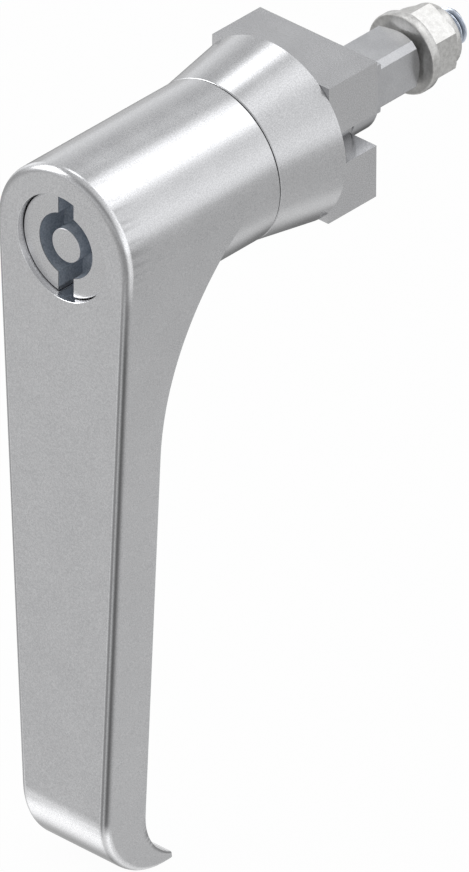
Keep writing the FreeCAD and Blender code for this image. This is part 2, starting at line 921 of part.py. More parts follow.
def helical_ramp():
    """A quarter-turn wedge that rises by the bolt's travel.

    The ruled face between two helices is carried straight forward into the cam's ring.
    It starts just past the bolt's nose, so that the nose leads the contact.
    """
    nose = math.degrees(math.asin((d.bolt_nose_radius / d.bolt_offset).value))
    lift = d.bolt_travel.value
    sink = d.cam_ramp_base.value * 0.5
    pitch = lift * 360.0 / QUARTER_TURN
    rails = []
    for radius in (d.cam_ramp_inner_radius.value, d.cam_outer_radius.value):
        rail = Part.makeHelix(pitch, lift, radius, 0.0, True)
        rails.append(rail.Edges[0])
    face = Part.makeRuledSurface(rails[0], rails[1])
    wedge = face.extrude(Vector(0, 0, -(lift + sink)))
    low = Part.makeCylinder(d.cam_outer_radius.value + 1.0, lift + sink + 1.0, Vector(0, 0, -sink))
    wedge = wedge.common(low)
    # the helix climbs along +Z from +X; it is laid along +Y and started below the axis
    wedge.Placement = Placement(
        Vector(0, cam_face.value, 0), Rotation(Vector(1, 0, 0), -90)
    ).multiply(Placement(Vector(), Rotation(Vector(0, 0, 1), QUARTER_TURN - nose)))
    return wedge


def build_cam_clip():
    """The open clip that holds the cam on the plug's boss."""
    body = new_body("cam_clip_body")
    front = plug_rear + d.cam_plate + d.turning_clearance
    rear = front + d.clip_thickness
    inner = d.plug_boss_radius - d.clip_width * 0.5 + d.turning_clearance
    revolve(
        body,
        rectangle(
            long_sketch(body, "clip_section"), front, rear, inner, d.cam_ramp_inner_radius - d.turning_clearance
        ),
    )
    opening = d.clip_width
    mouth = rectangle(
        cross_sketch(body, "clip_mouth", front - 1.0), -opening, opening, 0.0, d.cam_outer_radius
    )
    pocket(body, mouth, d.clip_thickness + 2.0)
    return finished(body, "cam_clip")


def build_lock_bolt():
    """The round bolt that slides back into the housing when the key is turned."""
    body = new_body("lock_bolt")
    up = -d.bolt_offset
    sections = (
        ("bolt_nose", bolt_front, bolt_head_front, d.bolt_nose_radius),
        ("bolt_head", bolt_head_front, bolt_head_rear, d.bolt_head_radius),
        ("bolt_shank", bolt_head_rear, bolt_rear, d.bolt_radius),
    )
    for name, front, rear, radius in sections:
        pad(body, circle(cross_sketch(body, name, front), radius, 0.0, up), rear - front)
    return finished(body, "lock_bolt")


def coil_spring(label, wire, radius, coils, front, rear, across, up):
    """A compression spring along the axis between two stations, with its wire inside them."""
    spine = doc.addObject("Part::Helix", f"{label}_spine")
    height = rear - front - wire * 2.0
    bind(spine, Height=height, Pitch=height / coils, Radius=radius)
    section = doc.addObject("Part::RegularPolygon", f"{label}_section")
    section.Polygon = 8
    bind(section, Circumradius=wire)
    section.Placement = Placement(Vector(), Rotation(Vector(1, 0, 0), 90))
    section.setExpression("Placement.Base.x", radius.formula)
    sweep = doc.addObject("Part::Sweep", label)
    sweep.Sections = [section]
    sweep.Spine = (spine, ["Edge1"])
    sweep.Solid = True
    sweep.Frenet = True
    sweep.Placement = Placement(Vector(), Rotation(Vector(1, 0, 0), -90))
    sweep.setExpression("Placement.Base.x", size(across).formula)
    sweep.setExpression("Placement.Base.y", (front + wire).formula)
    sweep.setExpression("Placement.Base.z", size(up).formula)
    return finished(sweep, label)


def build_spindle_screw():
    """The socket-head screw that pulls the spindle into the neck."""
    body = new_body("spindle_screw")
    head_rear = bore_floor - d.washer_thickness
    head_front = head_rear - d.screw_head_height
    edge = 0.3
    revolve(
        body,
        outline(
            long_sketch(body, "screw_form"),
            [
                (head_front, 0.0),
                (head_front, d.screw_head_radius - edge),
                (head_front + edge, d.screw_head_radius),
                (head_rear, d.screw_head_radius),
                (head_rear, d.screw_radius),
                (head_rear + d.screw_length - edge, d.screw_radius),
                (head_rear + d.screw_length, d.screw_radius - edge),
                (head_rear + d.screw_length, 0.0),
            ],
        ),
    )
    half = d.screw_hex * 0.5
    corner = d.screw_hex / root(size(3.0))
    socket = outline(
        cross_sketch(body, "screw_socket", head_front - 0.5),
        [
            (half, corner * 0.5),
            (0.0, corner),
            (-half, corner * 0.5),
            (-half, -(corner * 0.5)),
            (0.0, -corner),
            (half, -(corner * 0.5)),
        ],
    )
    pocket(body, socket, d.screw_hex_depth + 0.5)
    return finished(body, "spindle_screw")


def build_small_rings():
    """The washers, the seals and the wire ring that holds the plug."""
    turned(
        "screw_washer",
        [
            (bore_floor - d.washer_thickness, d.screw_radius + d.loose_clearance),
            (bore_floor - d.washer_thickness, d.washer_radius),
            (bore_floor, d.washer_radius),
            (bore_floor, d.screw_radius + d.loose_clearance),
        ],
    )
    turned(
        "thrust_washer",
        [
            (web_rear, d.tenon_corner_radius + d.turning_clearance),
            (web_rear, d.journal_radius - d.turning_clearance),
            (web_rear + d.thrust_washer_thickness, d.journal_radius - d.turning_clearance),
            (web_rear + d.thrust_washer_thickness, d.tenon_corner_radius + d.turning_clearance),
        ],
    )
    ring(
        "plug_snap_ring",
        d.snap_ring_wire - d.seal_clearance * 0.5,
        d.plug_bore_radius,
        handle_front + d.snap_ring_place,
        sweep=325.0,
    )
    plug_radius = d.plug_bore_radius - d.plug_clearance
    ring("plug_seal", d.plug_seal_wire, plug_radius - d.plug_seal_wire, handle_front + d.plug_seal_place)
    ring(
        "spindle_seal",
        d.spindle_seal_wire,
        d.journal_radius - d.spindle_seal_wire,
        d.spindle_seal_place,
    )
    seal_station = handle_rear - d.neck_seal_wire + d.running_gap - d.seal_clearance
    ring("neck_seal", d.neck_seal_wire, d.neck_seal_radius, seal_station)


def build_stop_and_detent():
    """The pin that stops the handle after a quarter turn, and the ball that holds it there."""
    body = new_body("stop_pin")
    pin_x = d.stop_offset * cosine(d.stop_angle_deg)
    pin_z = -(d.stop_offset * sine(d.stop_angle_deg))
    pin = circle(
        cross_sketch(body, "stop_pin_round", handle_rear - d.stop_pin_depth), d.stop_pin_radius, pin_x, pin_z
    )
    pad(body, pin, d.stop_pin_depth + d.stop_pin_reach)
    finished(body, "stop_pin")

    centre_y = housing_front + d.detent_ball_reach - d.detent_ball_radius
    ball = doc.addObject("Part::Sphere", "detent_ball")
    bind(ball, Radius=d.detent_ball_radius)
    ball.setExpression("Placement.Base.y", centre_y.formula)
    ball.setExpression("Placement.Base.z", d.detent_offset.formula)
    finished(ball, "detent_ball")

    spring_radius = d.detent_ball_radius - d.detent_spring_wire - d.loose_clearance
    contact = leg(d.detent_ball_radius, spring_radius)
    coil_spring(
        "detent_spring",
        d.detent_spring_wire,
        spring_radius,
        d.detent_spring_coils,
        handle_rear - d.detent_hole_depth + d.turning_clearance,
        centre_y - contact - d.turning_clearance,
        0.0,
        d.detent_offset,
    )


def build_bolt_spring():
    """The spring that holds the bolt's head against the cam."""
    return coil_spring(
        "bolt_spring",
        d.bolt_spring_wire,
        d.bolt_radius + d.bolt_spring_wire + d.turning_clearance,
        d.bolt_spring_coils,
        bolt_head_rear + d.turning_clearance,
        bolt_spring_seat - d.turning_clearance,
        0.0,
        -d.bolt_offset,
    )


def check_and_write():
    """Stops on any failed feature or sub-part, then writes each sub-part to its own file."""
    doc.recompute()
    failed = [o.Name for o in doc.Objects if {"Invalid", "Error"} & set(o.State)]
    if failed:
        raise SystemExit(f"failed features: {failed}")
    os.makedirs("parts", exist_ok=True)
    for piece in pieces:
        shape = piece.Shape
        if shape.isNull() or not shape.isValid() or not shape.Solids:
            raise SystemExit(f"bad shape: {piece.Label}")
        shape.exportStep(os.path.join("parts", f"{piece.Label}.step"))
        print(f"{piece.Label}: {len(shape.Solids)} solid, {shape.Volume:.2f} mm3")


build_housing()
build_handle()
build_spindle()
build_flange_nut()
build_lock_plug()
build_key_pin()
build_lock_cam()
build_cam_clip()
build_lock_bolt()
build_bolt_spring()
build_spindle_screw()
build_small_rings()
build_stop_and_detent()
check_and_write()
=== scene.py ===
import logging
import math
from dataclasses import dataclass
from enum import Enum
from typing import Dict, List, Optional, Sequence, Tuple, Union

import bmesh
import bpy
import numpy as np
from mathutils import Matrix, Vector


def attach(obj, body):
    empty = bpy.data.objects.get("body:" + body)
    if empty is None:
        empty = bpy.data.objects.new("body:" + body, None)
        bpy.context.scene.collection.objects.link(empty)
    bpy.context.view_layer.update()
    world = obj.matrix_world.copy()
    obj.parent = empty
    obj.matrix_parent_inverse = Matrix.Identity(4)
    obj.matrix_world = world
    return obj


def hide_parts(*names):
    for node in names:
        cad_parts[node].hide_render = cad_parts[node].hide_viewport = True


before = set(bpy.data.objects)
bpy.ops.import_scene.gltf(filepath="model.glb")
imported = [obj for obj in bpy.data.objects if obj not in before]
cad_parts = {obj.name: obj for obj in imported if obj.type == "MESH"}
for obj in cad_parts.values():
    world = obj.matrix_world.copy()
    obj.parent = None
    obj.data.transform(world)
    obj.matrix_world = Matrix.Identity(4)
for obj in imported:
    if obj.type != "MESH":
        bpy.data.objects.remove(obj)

log = logging.getLogger("l_handle_latch")
logging.basicConfig(level=logging.INFO, format="%(name)s: %(message)s")

Array = np.ndarray
Pair = Tuple[float, float]
Triple = Tuple[float, float, float]
Rgb = Triple
Stations = List[Tuple[float, Array]]  # depths, and a radius for each angle there

MM = 0.001
AXIS_OFFSET_MM = 43.1  # from the handle's front face to the panel plane
WHITE: Rgb = (1.0, 1.0, 1.0)
BLACK: Rgb = (0.0, 0.0, 0.0)
PLAIN = np.array(1.0)  # the painted light of the plain finish, where no highlight or shade is painted

WELD_M = 2e-6
SLIVER_M = 1e-7
TINY_MM = 0.001  # radius of the small hole that stands for a turned form's pole
NEAR_MM = 0.01  # margin for finding the stations of a known depth or radius

RIM_TURN = np.radians(np.linspace(0.0, 90.0, 25))
TIP_TURN = np.radians(np.linspace(0.0, 90.0, 9))
EDGE_TURN = TIP_TURN[::2]
HALF_HOLE = np.linspace(0.0, math.pi, 13)
FULL_HOLE = np.linspace(0.0, 2.0 * math.pi, 25)[:-1]


def world_points(x: Array, depth: Array, z: Array) -> Array:
    """Stacks millimetre coordinates into metres of the row frame.

    Args:
        x: Distance to the right of the spindle's axis.
        depth: Distance behind the handle's front face.
        z: Height above the spindle's axis.

    Returns:
        An array of points with a last axis of three.
    """
    x, depth, z = np.broadcast_arrays(x, depth, z)
    return np.stack([x, depth - AXIS_OFFSET_MM, z], axis=-1) * MM


def flat(outline: Array, depth: float) -> Array:
    """Points of an outline of X and Z at a depth."""
    return world_points(outline[:, 0], depth, outline[:, 1])


class Skin:
    """Patches of one piece, welded into a mesh."""

    def __init__(self) -> None:
        """Starts without patches."""
        self.points: List[Array] = []
        self.burnish: List[Array] = []
        self.faces: List[Sequence[int]] = []
        self.count = 0

    def _add(self, points: Array, burnish: Array = PLAIN) -> int:
        """Keeps points and their painted highlights and shade.

        Args:
            points: Array with a last axis of three coordinates.
            burnish: How bright each point is painted, as highlight or shade.

        Returns:
            Number of the first of them.
        """
        start = self.count
        self.points.append(points.reshape(-1, 3))
        self.burnish.append(np.broadcast_to(burnish, points.shape[:-1]).reshape(-1))
        self.count += self.points[-1].shape[0]
        return start

    def grid(self, points: Array, closed: bool = False, burnish: Array = PLAIN) -> "Skin":
        """Adds a sheet of quads over a grid of points.

        Args:
            points: Array of rows, columns and three coordinates.
            closed: Whether the last column joins the first.
            burnish: How bright each point is painted as highlight or shade, 1 for the plain
                finish.

        Returns:
            The skin itself.
        """
        rows, columns = points.shape[:2]
        start = self._add(points, burnish)
        index = np.arange(rows * columns).reshape(rows, columns) + start
        if closed:
            index = np.concatenate([index, index[:, :1]], axis=1)
        quads = np.stack(
            [index[:-1, :-1], index[:-1, 1:], index[1:, 1:], index[1:, :-1]], axis=-1
        )
        self.faces.extend(quads.reshape(-1, 4).tolist())
        return self

    def polygon(self, loop: Array) -> "Skin":
        """Adds one flat face.

        Args:
            loop: The points round it.

        Returns:
            The skin itself.
        """
        start = self._add(loop)
        self.faces.append(list(range(start, self.count)))
        return self

    def mirrored(self) -> "Skin":
        """Adds the mirror image of everything so far, across the plane of the axis.

        Returns:
            The skin itself.
        """
        twin = np.concatenate(self.points) * np.array([-1.0, 1.0, 1.0])
        faces = [[i + self.count for i in reversed(face)] for face in self.faces]
        self._add(twin, np.concatenate(self.burnish))
        self.faces.extend(faces)
        return self

    def mesh(self, name: str, sharp_deg: float) -> bpy.types.Mesh:
        """Welds the patches and marks the sharp edges.

        Args:
            name: Name of the mesh.
            sharp_deg: Edges that bend by more than this stay sharp.

        Returns:
            The new mesh.
        """
        mesh = bpy.data.meshes.new(name)
        mesh.from_pydata(np.concatenate(self.points).tolist(), [], self.faces)
        burnish = mesh.attributes.new("burnish", "FLOAT", "POINT")
        burnish.data.foreach_set("value", np.concatenate(self.burnish).astype(np.float32))
        work = bmesh.new()
        work.from_mesh(mesh)
        bmesh.ops.remove_doubles(work, verts=work.verts, dist=WELD_M)
        bmesh.ops.dissolve_degenerate(work, edges=work.edges, dist=SLIVER_M)
        bmesh.ops.recalc_face_normals(work, faces=work.faces)
        work.to_mesh(mesh)
        work.free()
        mesh.polygons.foreach_set("use_smooth", np.ones(len(mesh.polygons), dtype=bool))
        mesh.set_sharp_from_angle(angle=math.radians(sharp_deg))
        return mesh


def turned(profile: Sequence[Pair], angles: Array) -> Array:
    """Points of a profile turned about the spindle's axis.

    Args:
        profile: Pairs of depth and radius in millimetres.
        angles: Angles in radians, from +X towards +Z.

    Returns:
        A grid of profile stations by angles.
    """
    pairs = np.array(profile, dtype=float)
    depth, radius = pairs[:, :1], pairs[:, 1:]
    return world_points(radius * np.cos(angles), depth, radius * np.sin(angles))


def circle_angles(count: int, extra_deg: Sequence[float] = ()) -> Array:
    """Even angles of a full turn, with some exact ones added, in radians."""
    even = np.linspace(0.0, 360.0, count, endpoint=False)
    return np.radians(np.unique(np.round(np.concatenate([even, np.array(extra_deg)]), 6)))


def rounding(centre: Pair, radius: float, start_deg: float, end_deg: float,
             steps: int = 6) -> List[Pair]:
    """Pairs of depth and radius along a small round of a profile.

    Args:
        centre: Depth and radius of the round's centre.
        radius: The round's radius.
        start_deg: First angle, from the depth axis towards the radius axis.
        end_deg: Last angle.
        steps: Number of spans.

    Returns:
        The points of the round.
    """
    angles = np.radians(np.linspace(start_deg, end_deg, steps + 1))
    depth = centre[0] + radius * np.cos(angles)
    out = centre[1] + radius * np.sin(angles)
    return list(zip(depth.tolist(), out.tolist()))


def rounded_off(radius: Array, turn: Array) -> Tuple[Array, Array]:
    """How far a round's points lie behind its face and inside its side."""
    return radius * (1.0 - np.cos(turn)), radius * (1.0 - np.sin(turn))


def bolt_circle(angle_deg: float, side: float, offset: float, radius: float,
                sweep: Array) -> Array:
    """A circle round the locking bolt's axis, from its point nearest the spindle.

    Args:
        angle_deg: Direction of the bolt's axis from the spindle's.
        side: 1 to go round towards larger angles first, -1 for smaller ones.
        offset: Distance between the two axes.
        radius: The circle's radius.
        sweep: Angles along the circle in radians.

    Returns:
        Pairs of X and Z in millimetres.
    """
    turn = math.radians(angle_deg)
    out = np.array([math.cos(turn), math.sin(turn)])
    across = side * np.array([-math.sin(turn), math.cos(turn)])
    distance = (offset - radius * np.cos(sweep))[:, None]
    return out * distance + across * (radius * np.sin(sweep))[:, None]


def pierced_ring(angles: Array, inner: float, outer: float, hole: Pair,
                 at_first: bool, at_last: bool) -> Array:
    """Outline of a flat ring's sector with half a bolt hole at its ends.

    Args:
        angles: The sector's angles in radians.
        inner: The ring's inner radius.
        outer: The ring's outer radius.
        hole: The bolt hole's distance from the axis and its radius.
        at_first: Whether the first end has the hole.
        at_last: Whether the last end has the hole.

    Returns:
        Pairs of X and Z in millimetres.
    """
    way = np.stack([np.cos(angles), np.sin(angles)], axis=-1)
    side = math.copysign(1.0, angles[-1] - angles[0])
    parts = [way * outer]
    if at_last:
        parts.append(bolt_circle(math.degrees(angles[-1]), -side, *hole, HALF_HOLE)[::-1])
    parts.append((way * inner)[::-1])
    if at_first:
        parts.append(bolt_circle(math.degrees(angles[0]), side, *hole, HALF_HOLE))
    return np.concatenate(parts)


def regular_radius(angles: Array, distance: float, sides: int, first_deg: float = 0.0) -> Array:
    """Radius of a regular polygon at each angle.

    Args:
        angles: Angles in radians.
        distance: Distance from the centre to a side.
        sides: Number of sides.
        first_deg: Direction of the first side's normal.

    Returns:
        One radius per angle.
    """
    span = 2.0 * math.pi / sides
    off = (angles - math.radians(first_deg) + span / 2.0) % span - span / 2.0
    return distance / np.cos(off)


class Wire:
    """A node's output, with arithmetic, so that a graph reads as a formula."""

    def __init__(self, graph: "Graph", socket: bpy.types.NodeSocket) -> None:
        """Keeps the output and its graph."""
        self.graph = graph
        self.socket = socket

    def _math(self, operation: str, other: "Source", swap: bool = False) -> "Wire":
        """A Math node on this and another value, which comes first if swapped."""
        pair = (other, self) if swap else (self, other)
        return self.graph.node("ShaderNodeMath", {0: pair[0], 1: pair[1]}, operation=operation)

    def __add__(self, other: "Source") -> "Wire":
        """This plus another."""
        return self._math("ADD", other)

    def __radd__(self, other: "Source") -> "Wire":
        """Another plus this."""
        return self._math("ADD", other, swap=True)

    def __sub__(self, other: "Source") -> "Wire":
        """This less another."""
        return self._math("SUBTRACT", other)

    def __rsub__(self, other: "Source") -> "Wire":
        """Another less this."""
        return self._math("SUBTRACT", other, swap=True)

    def __mul__(self, other: "Source") -> "Wire":
        """This times another."""
        return self._math("MULTIPLY", other)

    def __rmul__(self, other: "Source") -> "Wire":
        """Another times this."""
        return self._math("MULTIPLY", other, swap=True)

    def diagonal(self, other: "Wire") -> "Wire":
        """The root of the sum of two values' squares."""
        return (self * self + other * other)._math("POWER", 0.5)

    def greatest(self, other: "Source") -> "Wire":
        """The larger of two values."""
        return self._math("MAXIMUM", other)

    def ramp(self, low: float, high: float, start: float = 0.0, end: float = 1.0) -> "Wire":
        """A smooth step from start at low to end at high."""
        values = {"Value": self, "From Min": low, "From Max": high, "To Min": start, "To Max": end}
        return self.graph.node("ShaderNodeMapRange", values, interpolation_type="SMOOTHSTEP")


Source = Union[Wire, float, Rgb, Tuple[float, ...]]


class Graph:
    """A node tree that is built by formula."""

    def __init__(self, tree: bpy.types.NodeTree) -> None:
        """Empties the tree."""
        self.tree = tree
        tree.nodes.clear()

    def node(self, kind: str, inputs: Optional[Dict[Union[str, int], Source]] = None,
             out: Union[str, int] = 0, **settings: object) -> Wire:
        """Adds a node.

        Args:
            kind: Blender's name of the node type.
            inputs: A wire or a constant for each named or numbered input.
            out: The output to return.
            **settings: Properties of the node.

        Returns:
            The chosen output.
        """
        made = self.tree.nodes.new(kind)
        for name, value in settings.items():
            setattr(made, name, value)
        for name, value in (inputs or {}).items():
            self.join(made.inputs[name], value)
        return Wire(self, made.outputs[out])

    def end(self, kind: str, shader: Wire) -> None:
        """Feeds a shader to the tree's output node."""
        self.join(self.tree.nodes.new(kind).inputs["Surface"], shader)

    def join(self, socket: bpy.types.NodeSocket, value: Source) -> None:
        """Feeds an input.

        Args:
            socket: The input.
            value: A wire, or a constant to set on the socket itself.
        """
        if isinstance(value, Wire):
            self.tree.links.new(value.socket, socket)
        elif isinstance(value, tuple) and len(value) == 3 and socket.type == "RGBA":
            socket.default_value = (*value, 1.0)
        else:
            socket.default_value = value

    def axes(self, place: Wire) -> List[Wire]:
        """The X, Y and Z of a place."""
        parts = self.node("ShaderNodeSeparateXYZ", {0: place}).socket.node.outputs
        return [Wire(self, part) for part in parts]

    def noise(self, where: Wire, size: float, detail: float = 2.0) -> Wire:
        """A noise value at a place, with patches of a size in metres."""
        values = {"Vector": where, "Scale": 1.0 / size, "Detail": detail}
        return self.node("ShaderNodeTexNoise", values, out="Fac")

    def blend(self, factor: Source, first: Source, second: Source) -> Wire:
        """A mix of two colours, the first at 0 and the second at 1."""
        values = {0: factor, 6: first, 7: second}
        return self.node("ShaderNodeMix", values, out=2, data_type="RGBA")

    def with_painted_light(self, colour: Wire) -> Wire:
        """Multiplies a colour by the mesh's painted highlights and shade.

        Args:
            colour: The colour of the plain finish.

        Returns:
            The product.
        """
        factor = self.node("ShaderNodeAttribute", out="Fac", attribute_name="burnish")
        values = {0: colour, "Scale": factor}
        return self.node("ShaderNodeVectorMath", values, out="Vector", operation="SCALE")


class Tone(Enum):
    """Linear colours of the metals and the other stuffs."""

    SATIN = (0.565, 0.567, 0.577)
    SATIN_DEEP = (0.545, 0.547, 0.557)
    LOCK = (0.565, 0.567, 0.575)
    LOCK_DEEP = (0.54, 0.542, 0.55)
    # the recess: a blue-grey painted darker than the face, standing in for part of the shade there
    RECESS = (0.44, 0.48, 0.535)
    RECESS_DEEP = (0.30, 0.34, 0.395)
    STEEL = (0.55, 0.555, 0.57)
    STEEL_DEEP = (0.51, 0.515, 0.53)
    ZINC = (0.66, 0.655, 0.64)
    ZINC_DEEP = (0.52, 0.515, 0.50)
    BLUE_ZINC = (0.42, 0.455, 0.515)
    WIRE = (0.40, 0.405, 0.415)
    WIRE_DEEP = (0.30, 0.305, 0.315)
    RUBBER = (0.022, 0.022, 0.024)
    RUBBER_DEEP = (0.012, 0.012, 0.013)
    NYLON = (0.66, 0.64, 0.58)
    NYLON_DEEP = (0.58, 0.56, 0.50)


@dataclass(frozen=True)
class Finish:
    """How a surface looks.

    Attributes:
        slot: The start of the material's name.
        light: Its lighter tone.
        deep: Its deeper tone.
        metallic: How metallic it is.
        roughness: Its mean roughness.
        patch_mm: Size of its mottling.
        grain_mm: Size of its grain.
        grain: Strength of the grain's relief.
        speckle: How far the grain lightens and darkens the colour.
    """

    slot: str
    light: Tone
    deep: Tone
    metallic: float
    roughness: float
    patch_mm: float
    grain_mm: float
    grain: float
    speckle: float = 0.0

    # noise values between which the tone, the speckle and the roughness change
    tone_span = (0.32, 0.68)
    speckle_span = (0.25, 0.75)
    roughness_span = (0.2, 0.8)
    mottle_detail = 4.0
    roughness_change = 0.1
    relief_depth = 0.1  # as a share of the grain's size

    def material(self) -> bpy.types.Material:
        """Builds the material once.

        Returns:
            The material, also when it was there already.
        """
        name = f"{self.slot}_{type(self).__name__.lower()}"
        if name in bpy.data.materials:
            return bpy.data.materials[name]
        material = bpy.data.materials.new(name)
        material.use_nodes = True
        graph = Graph(material.node_tree)
        place = graph.node("ShaderNodeTexCoord", out="Object")
        mottle = graph.noise(place, self.patch_mm * MM, self.mottle_detail)
        grain = graph.noise(place, self.grain_mm * MM)
        colour = graph.blend(mottle.ramp(*self.tone_span), self.deep.value, self.light.value)
        if self.speckle:
            shade = grain.ramp(*self.speckle_span)
            lifted = graph.blend(shade * self.speckle, colour, WHITE)
            colour = graph.blend((1.0 - shade) * self.speckle, lifted, BLACK)
        least, most = (self.roughness * (1.0 + s * self.roughness_change) for s in (-1.0, 1.0))
        depth = self.grain_mm * MM * self.relief_depth
        relief = graph.node(
            "ShaderNodeBump", {"Strength": self.grain, "Distance": depth, "Height": grain}
        )
        shader = graph.node("ShaderNodeBsdfPrincipled", {
            "Base Color": self.tinted(graph, place, colour),
            "Metallic": self.metal(graph, place),
            "Roughness": mottle.ramp(*self.roughness_span, least, most),
            "Normal": relief,
        })
        graph.end("ShaderNodeOutputMaterial", shader)
        return material

    def metal(self, graph: Graph, place: Wire) -> Source:
        """A hook for a finish that isn't equally metallic everywhere."""
        return self.metallic

    def tinted(self, graph: Graph, place: Wire, colour: Wire) -> Wire:
        """A hook for a finish whose colour changes along the part."""
        return colour


@dataclass(frozen=True)
class CastingFinish(Finish):
    """Metal whose colour is multiplied by painted highlights and shade."""

    def tinted(self, graph: Graph, place: Wire, colour: Wire) -> Wire:
        """Multiplies the colour by the mesh's painted highlights and shade."""
        return graph.with_painted_light(colour)


@dataclass(frozen=True)
class LockFinish(Finish):
    """Satin metal whose recess is a flatter blue-grey, painted darker than the face as part of its
    shade.
    """

    recess_grain_mm = 0.3
    recess_grain_detail = 3.0
    recess_tone_span = (0.35, 0.65)
    recess_metal_lost = 0.75
    recess_depth_mm = (1.04, 1.2)  # it begins behind the plug's face
    recess_radius_mm = (7.7, 7.3)  # it ends inside the plug's rounded rim

    def tinted(self, graph: Graph, place: Wire, colour: Wire) -> Wire:
        """Blends to the recess's grainy colour behind the plug's face.

        Args:
            graph: The material's graph.
            place: The place on the piece.
            colour: The colour of the face.

        Returns:
            The colour of both.
        """
        grain = graph.noise(place, self.recess_grain_mm * MM, self.recess_grain_detail)
        share = grain.ramp(*self.recess_tone_span)
        sunk = graph.blend(share, Tone.RECESS_DEEP.value, Tone.RECESS.value)
        return graph.blend(self.sunk(graph, place), colour, sunk)

    def metal(self, graph: Graph, place: Wire) -> Source:
        """The recess is less metallic than the face."""
        return 1.0 - self.sunk(graph, place) * self.recess_metal_lost

    def sunk(self, graph: Graph, place: Wire) -> Wire:
        """Tells the recess from the face and its rounded rim.

        Args:
            graph: The material's graph.
            place: The place on the piece.

        Returns:
            1 in the recess and 0 elsewhere.
        """
        x, y, z = graph.axes(place)
        start, end = ((depth - AXIS_OFFSET_MM) * MM for depth in self.recess_depth_mm)
        outside, inside = (radius * MM for radius in self.recess_radius_mm)
        return y.ramp(start, end) * x.diagonal(z).ramp(outside, inside)


@dataclass(frozen=True)
class SpindleFinish(Finish):
    """Plated steel whose threaded end is bluer."""

    blue_span_mm = (34.0, 35.0)

    def tinted(self, graph: Graph, place: Wire, colour: Wire) -> Wire:
        """Turns the colour to blue zinc behind the nut, and multiplies it by the painted
        highlights and shade.
        """
        share = graph.axes(place)[1].ramp(*(along * MM for along in self.blue_span_mm))
        return graph.with_painted_light(graph.blend(share, colour, Tone.BLUE_ZINC.value))


SATIN = CastingFinish(
    "satin_casting", Tone.SATIN, Tone.SATIN_DEEP, metallic=1.0, roughness=0.25,
    patch_mm=6.0, grain_mm=0.18, grain=0.20, speckle=0.15)
LOCK = LockFinish(
    "lock_metal", Tone.LOCK, Tone.LOCK_DEEP, metallic=1.0, roughness=0.30,
    patch_mm=3.0, grain_mm=0.18, grain=0.3, speckle=0.2)
SPINDLE_STEEL = SpindleFinish(
    "zinc_steel", Tone.STEEL, Tone.STEEL_DEEP, metallic=1.0, roughness=0.30,
    patch_mm=4.0, grain_mm=0.15, grain=0.12, speckle=0.12)
STEEL = Finish(
    "zinc_steel", Tone.STEEL, Tone.STEEL_DEEP, metallic=1.0, roughness=0.30,
    patch_mm=4.0, grain_mm=0.17, grain=0.25, speckle=0.12)
NUT = CastingFinish(
    "nut_zinc", Tone.ZINC, Tone.ZINC_DEEP, metallic=0.9, roughness=0.38,
    patch_mm=0.7, grain_mm=0.2, grain=0.6, speckle=0.10)
WIRE = Finish(
    "spring_steel", Tone.WIRE, Tone.WIRE_DEEP, metallic=1.0, roughness=0.3,
    patch_mm=1.0, grain_mm=0.1, grain=0.3)
RUBBER = Finish(
    "seal_rubber", Tone.RUBBER, Tone.RUBBER_DEEP, metallic=0.0, roughness=0.6,
    patch_mm=1.5, grain_mm=0.12, grain=0.4)
NYLON = Finish(
    "washer_plastic", Tone.NYLON, Tone.NYLON_DEEP, metallic=0.0, roughness=0.45,
    patch_mm=2.0, grain_mm=0.2, grain=0.3)


class Piece:
    """One visible piece that stands for CAD nodes."""

    name = "piece"
    body = "fixed"
    nodes: Tuple[str, ...] = ()
    finish = SATIN
    sharp_deg = 28.0
    normal_weight = 80

    def shape(self) -> Skin:
        """The piece's skin."""
        raise NotImplementedError

    def build(self) -> bpy.types.Object:
        """Makes the object, finishes it and ties it to its body.

        Returns:
            The new object.
        """
        mesh = self.shape().mesh(self.name, self.sharp_deg)
        thing = bpy.data.objects.new(self.name, mesh)
        bpy.context.scene.collection.objects.link(thing)
        mesh.materials.append(self.finish.material())
        weighted = thing.modifiers.new("even_normals", "WEIGHTED_NORMAL")
        weighted.keep_sharp = True
        weighted.weight = self.normal_weight
        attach(thing, self.body)
        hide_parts(*self.nodes)
        log.info("%s: %d faces", self.name, len(mesh.polygons))
        return thing


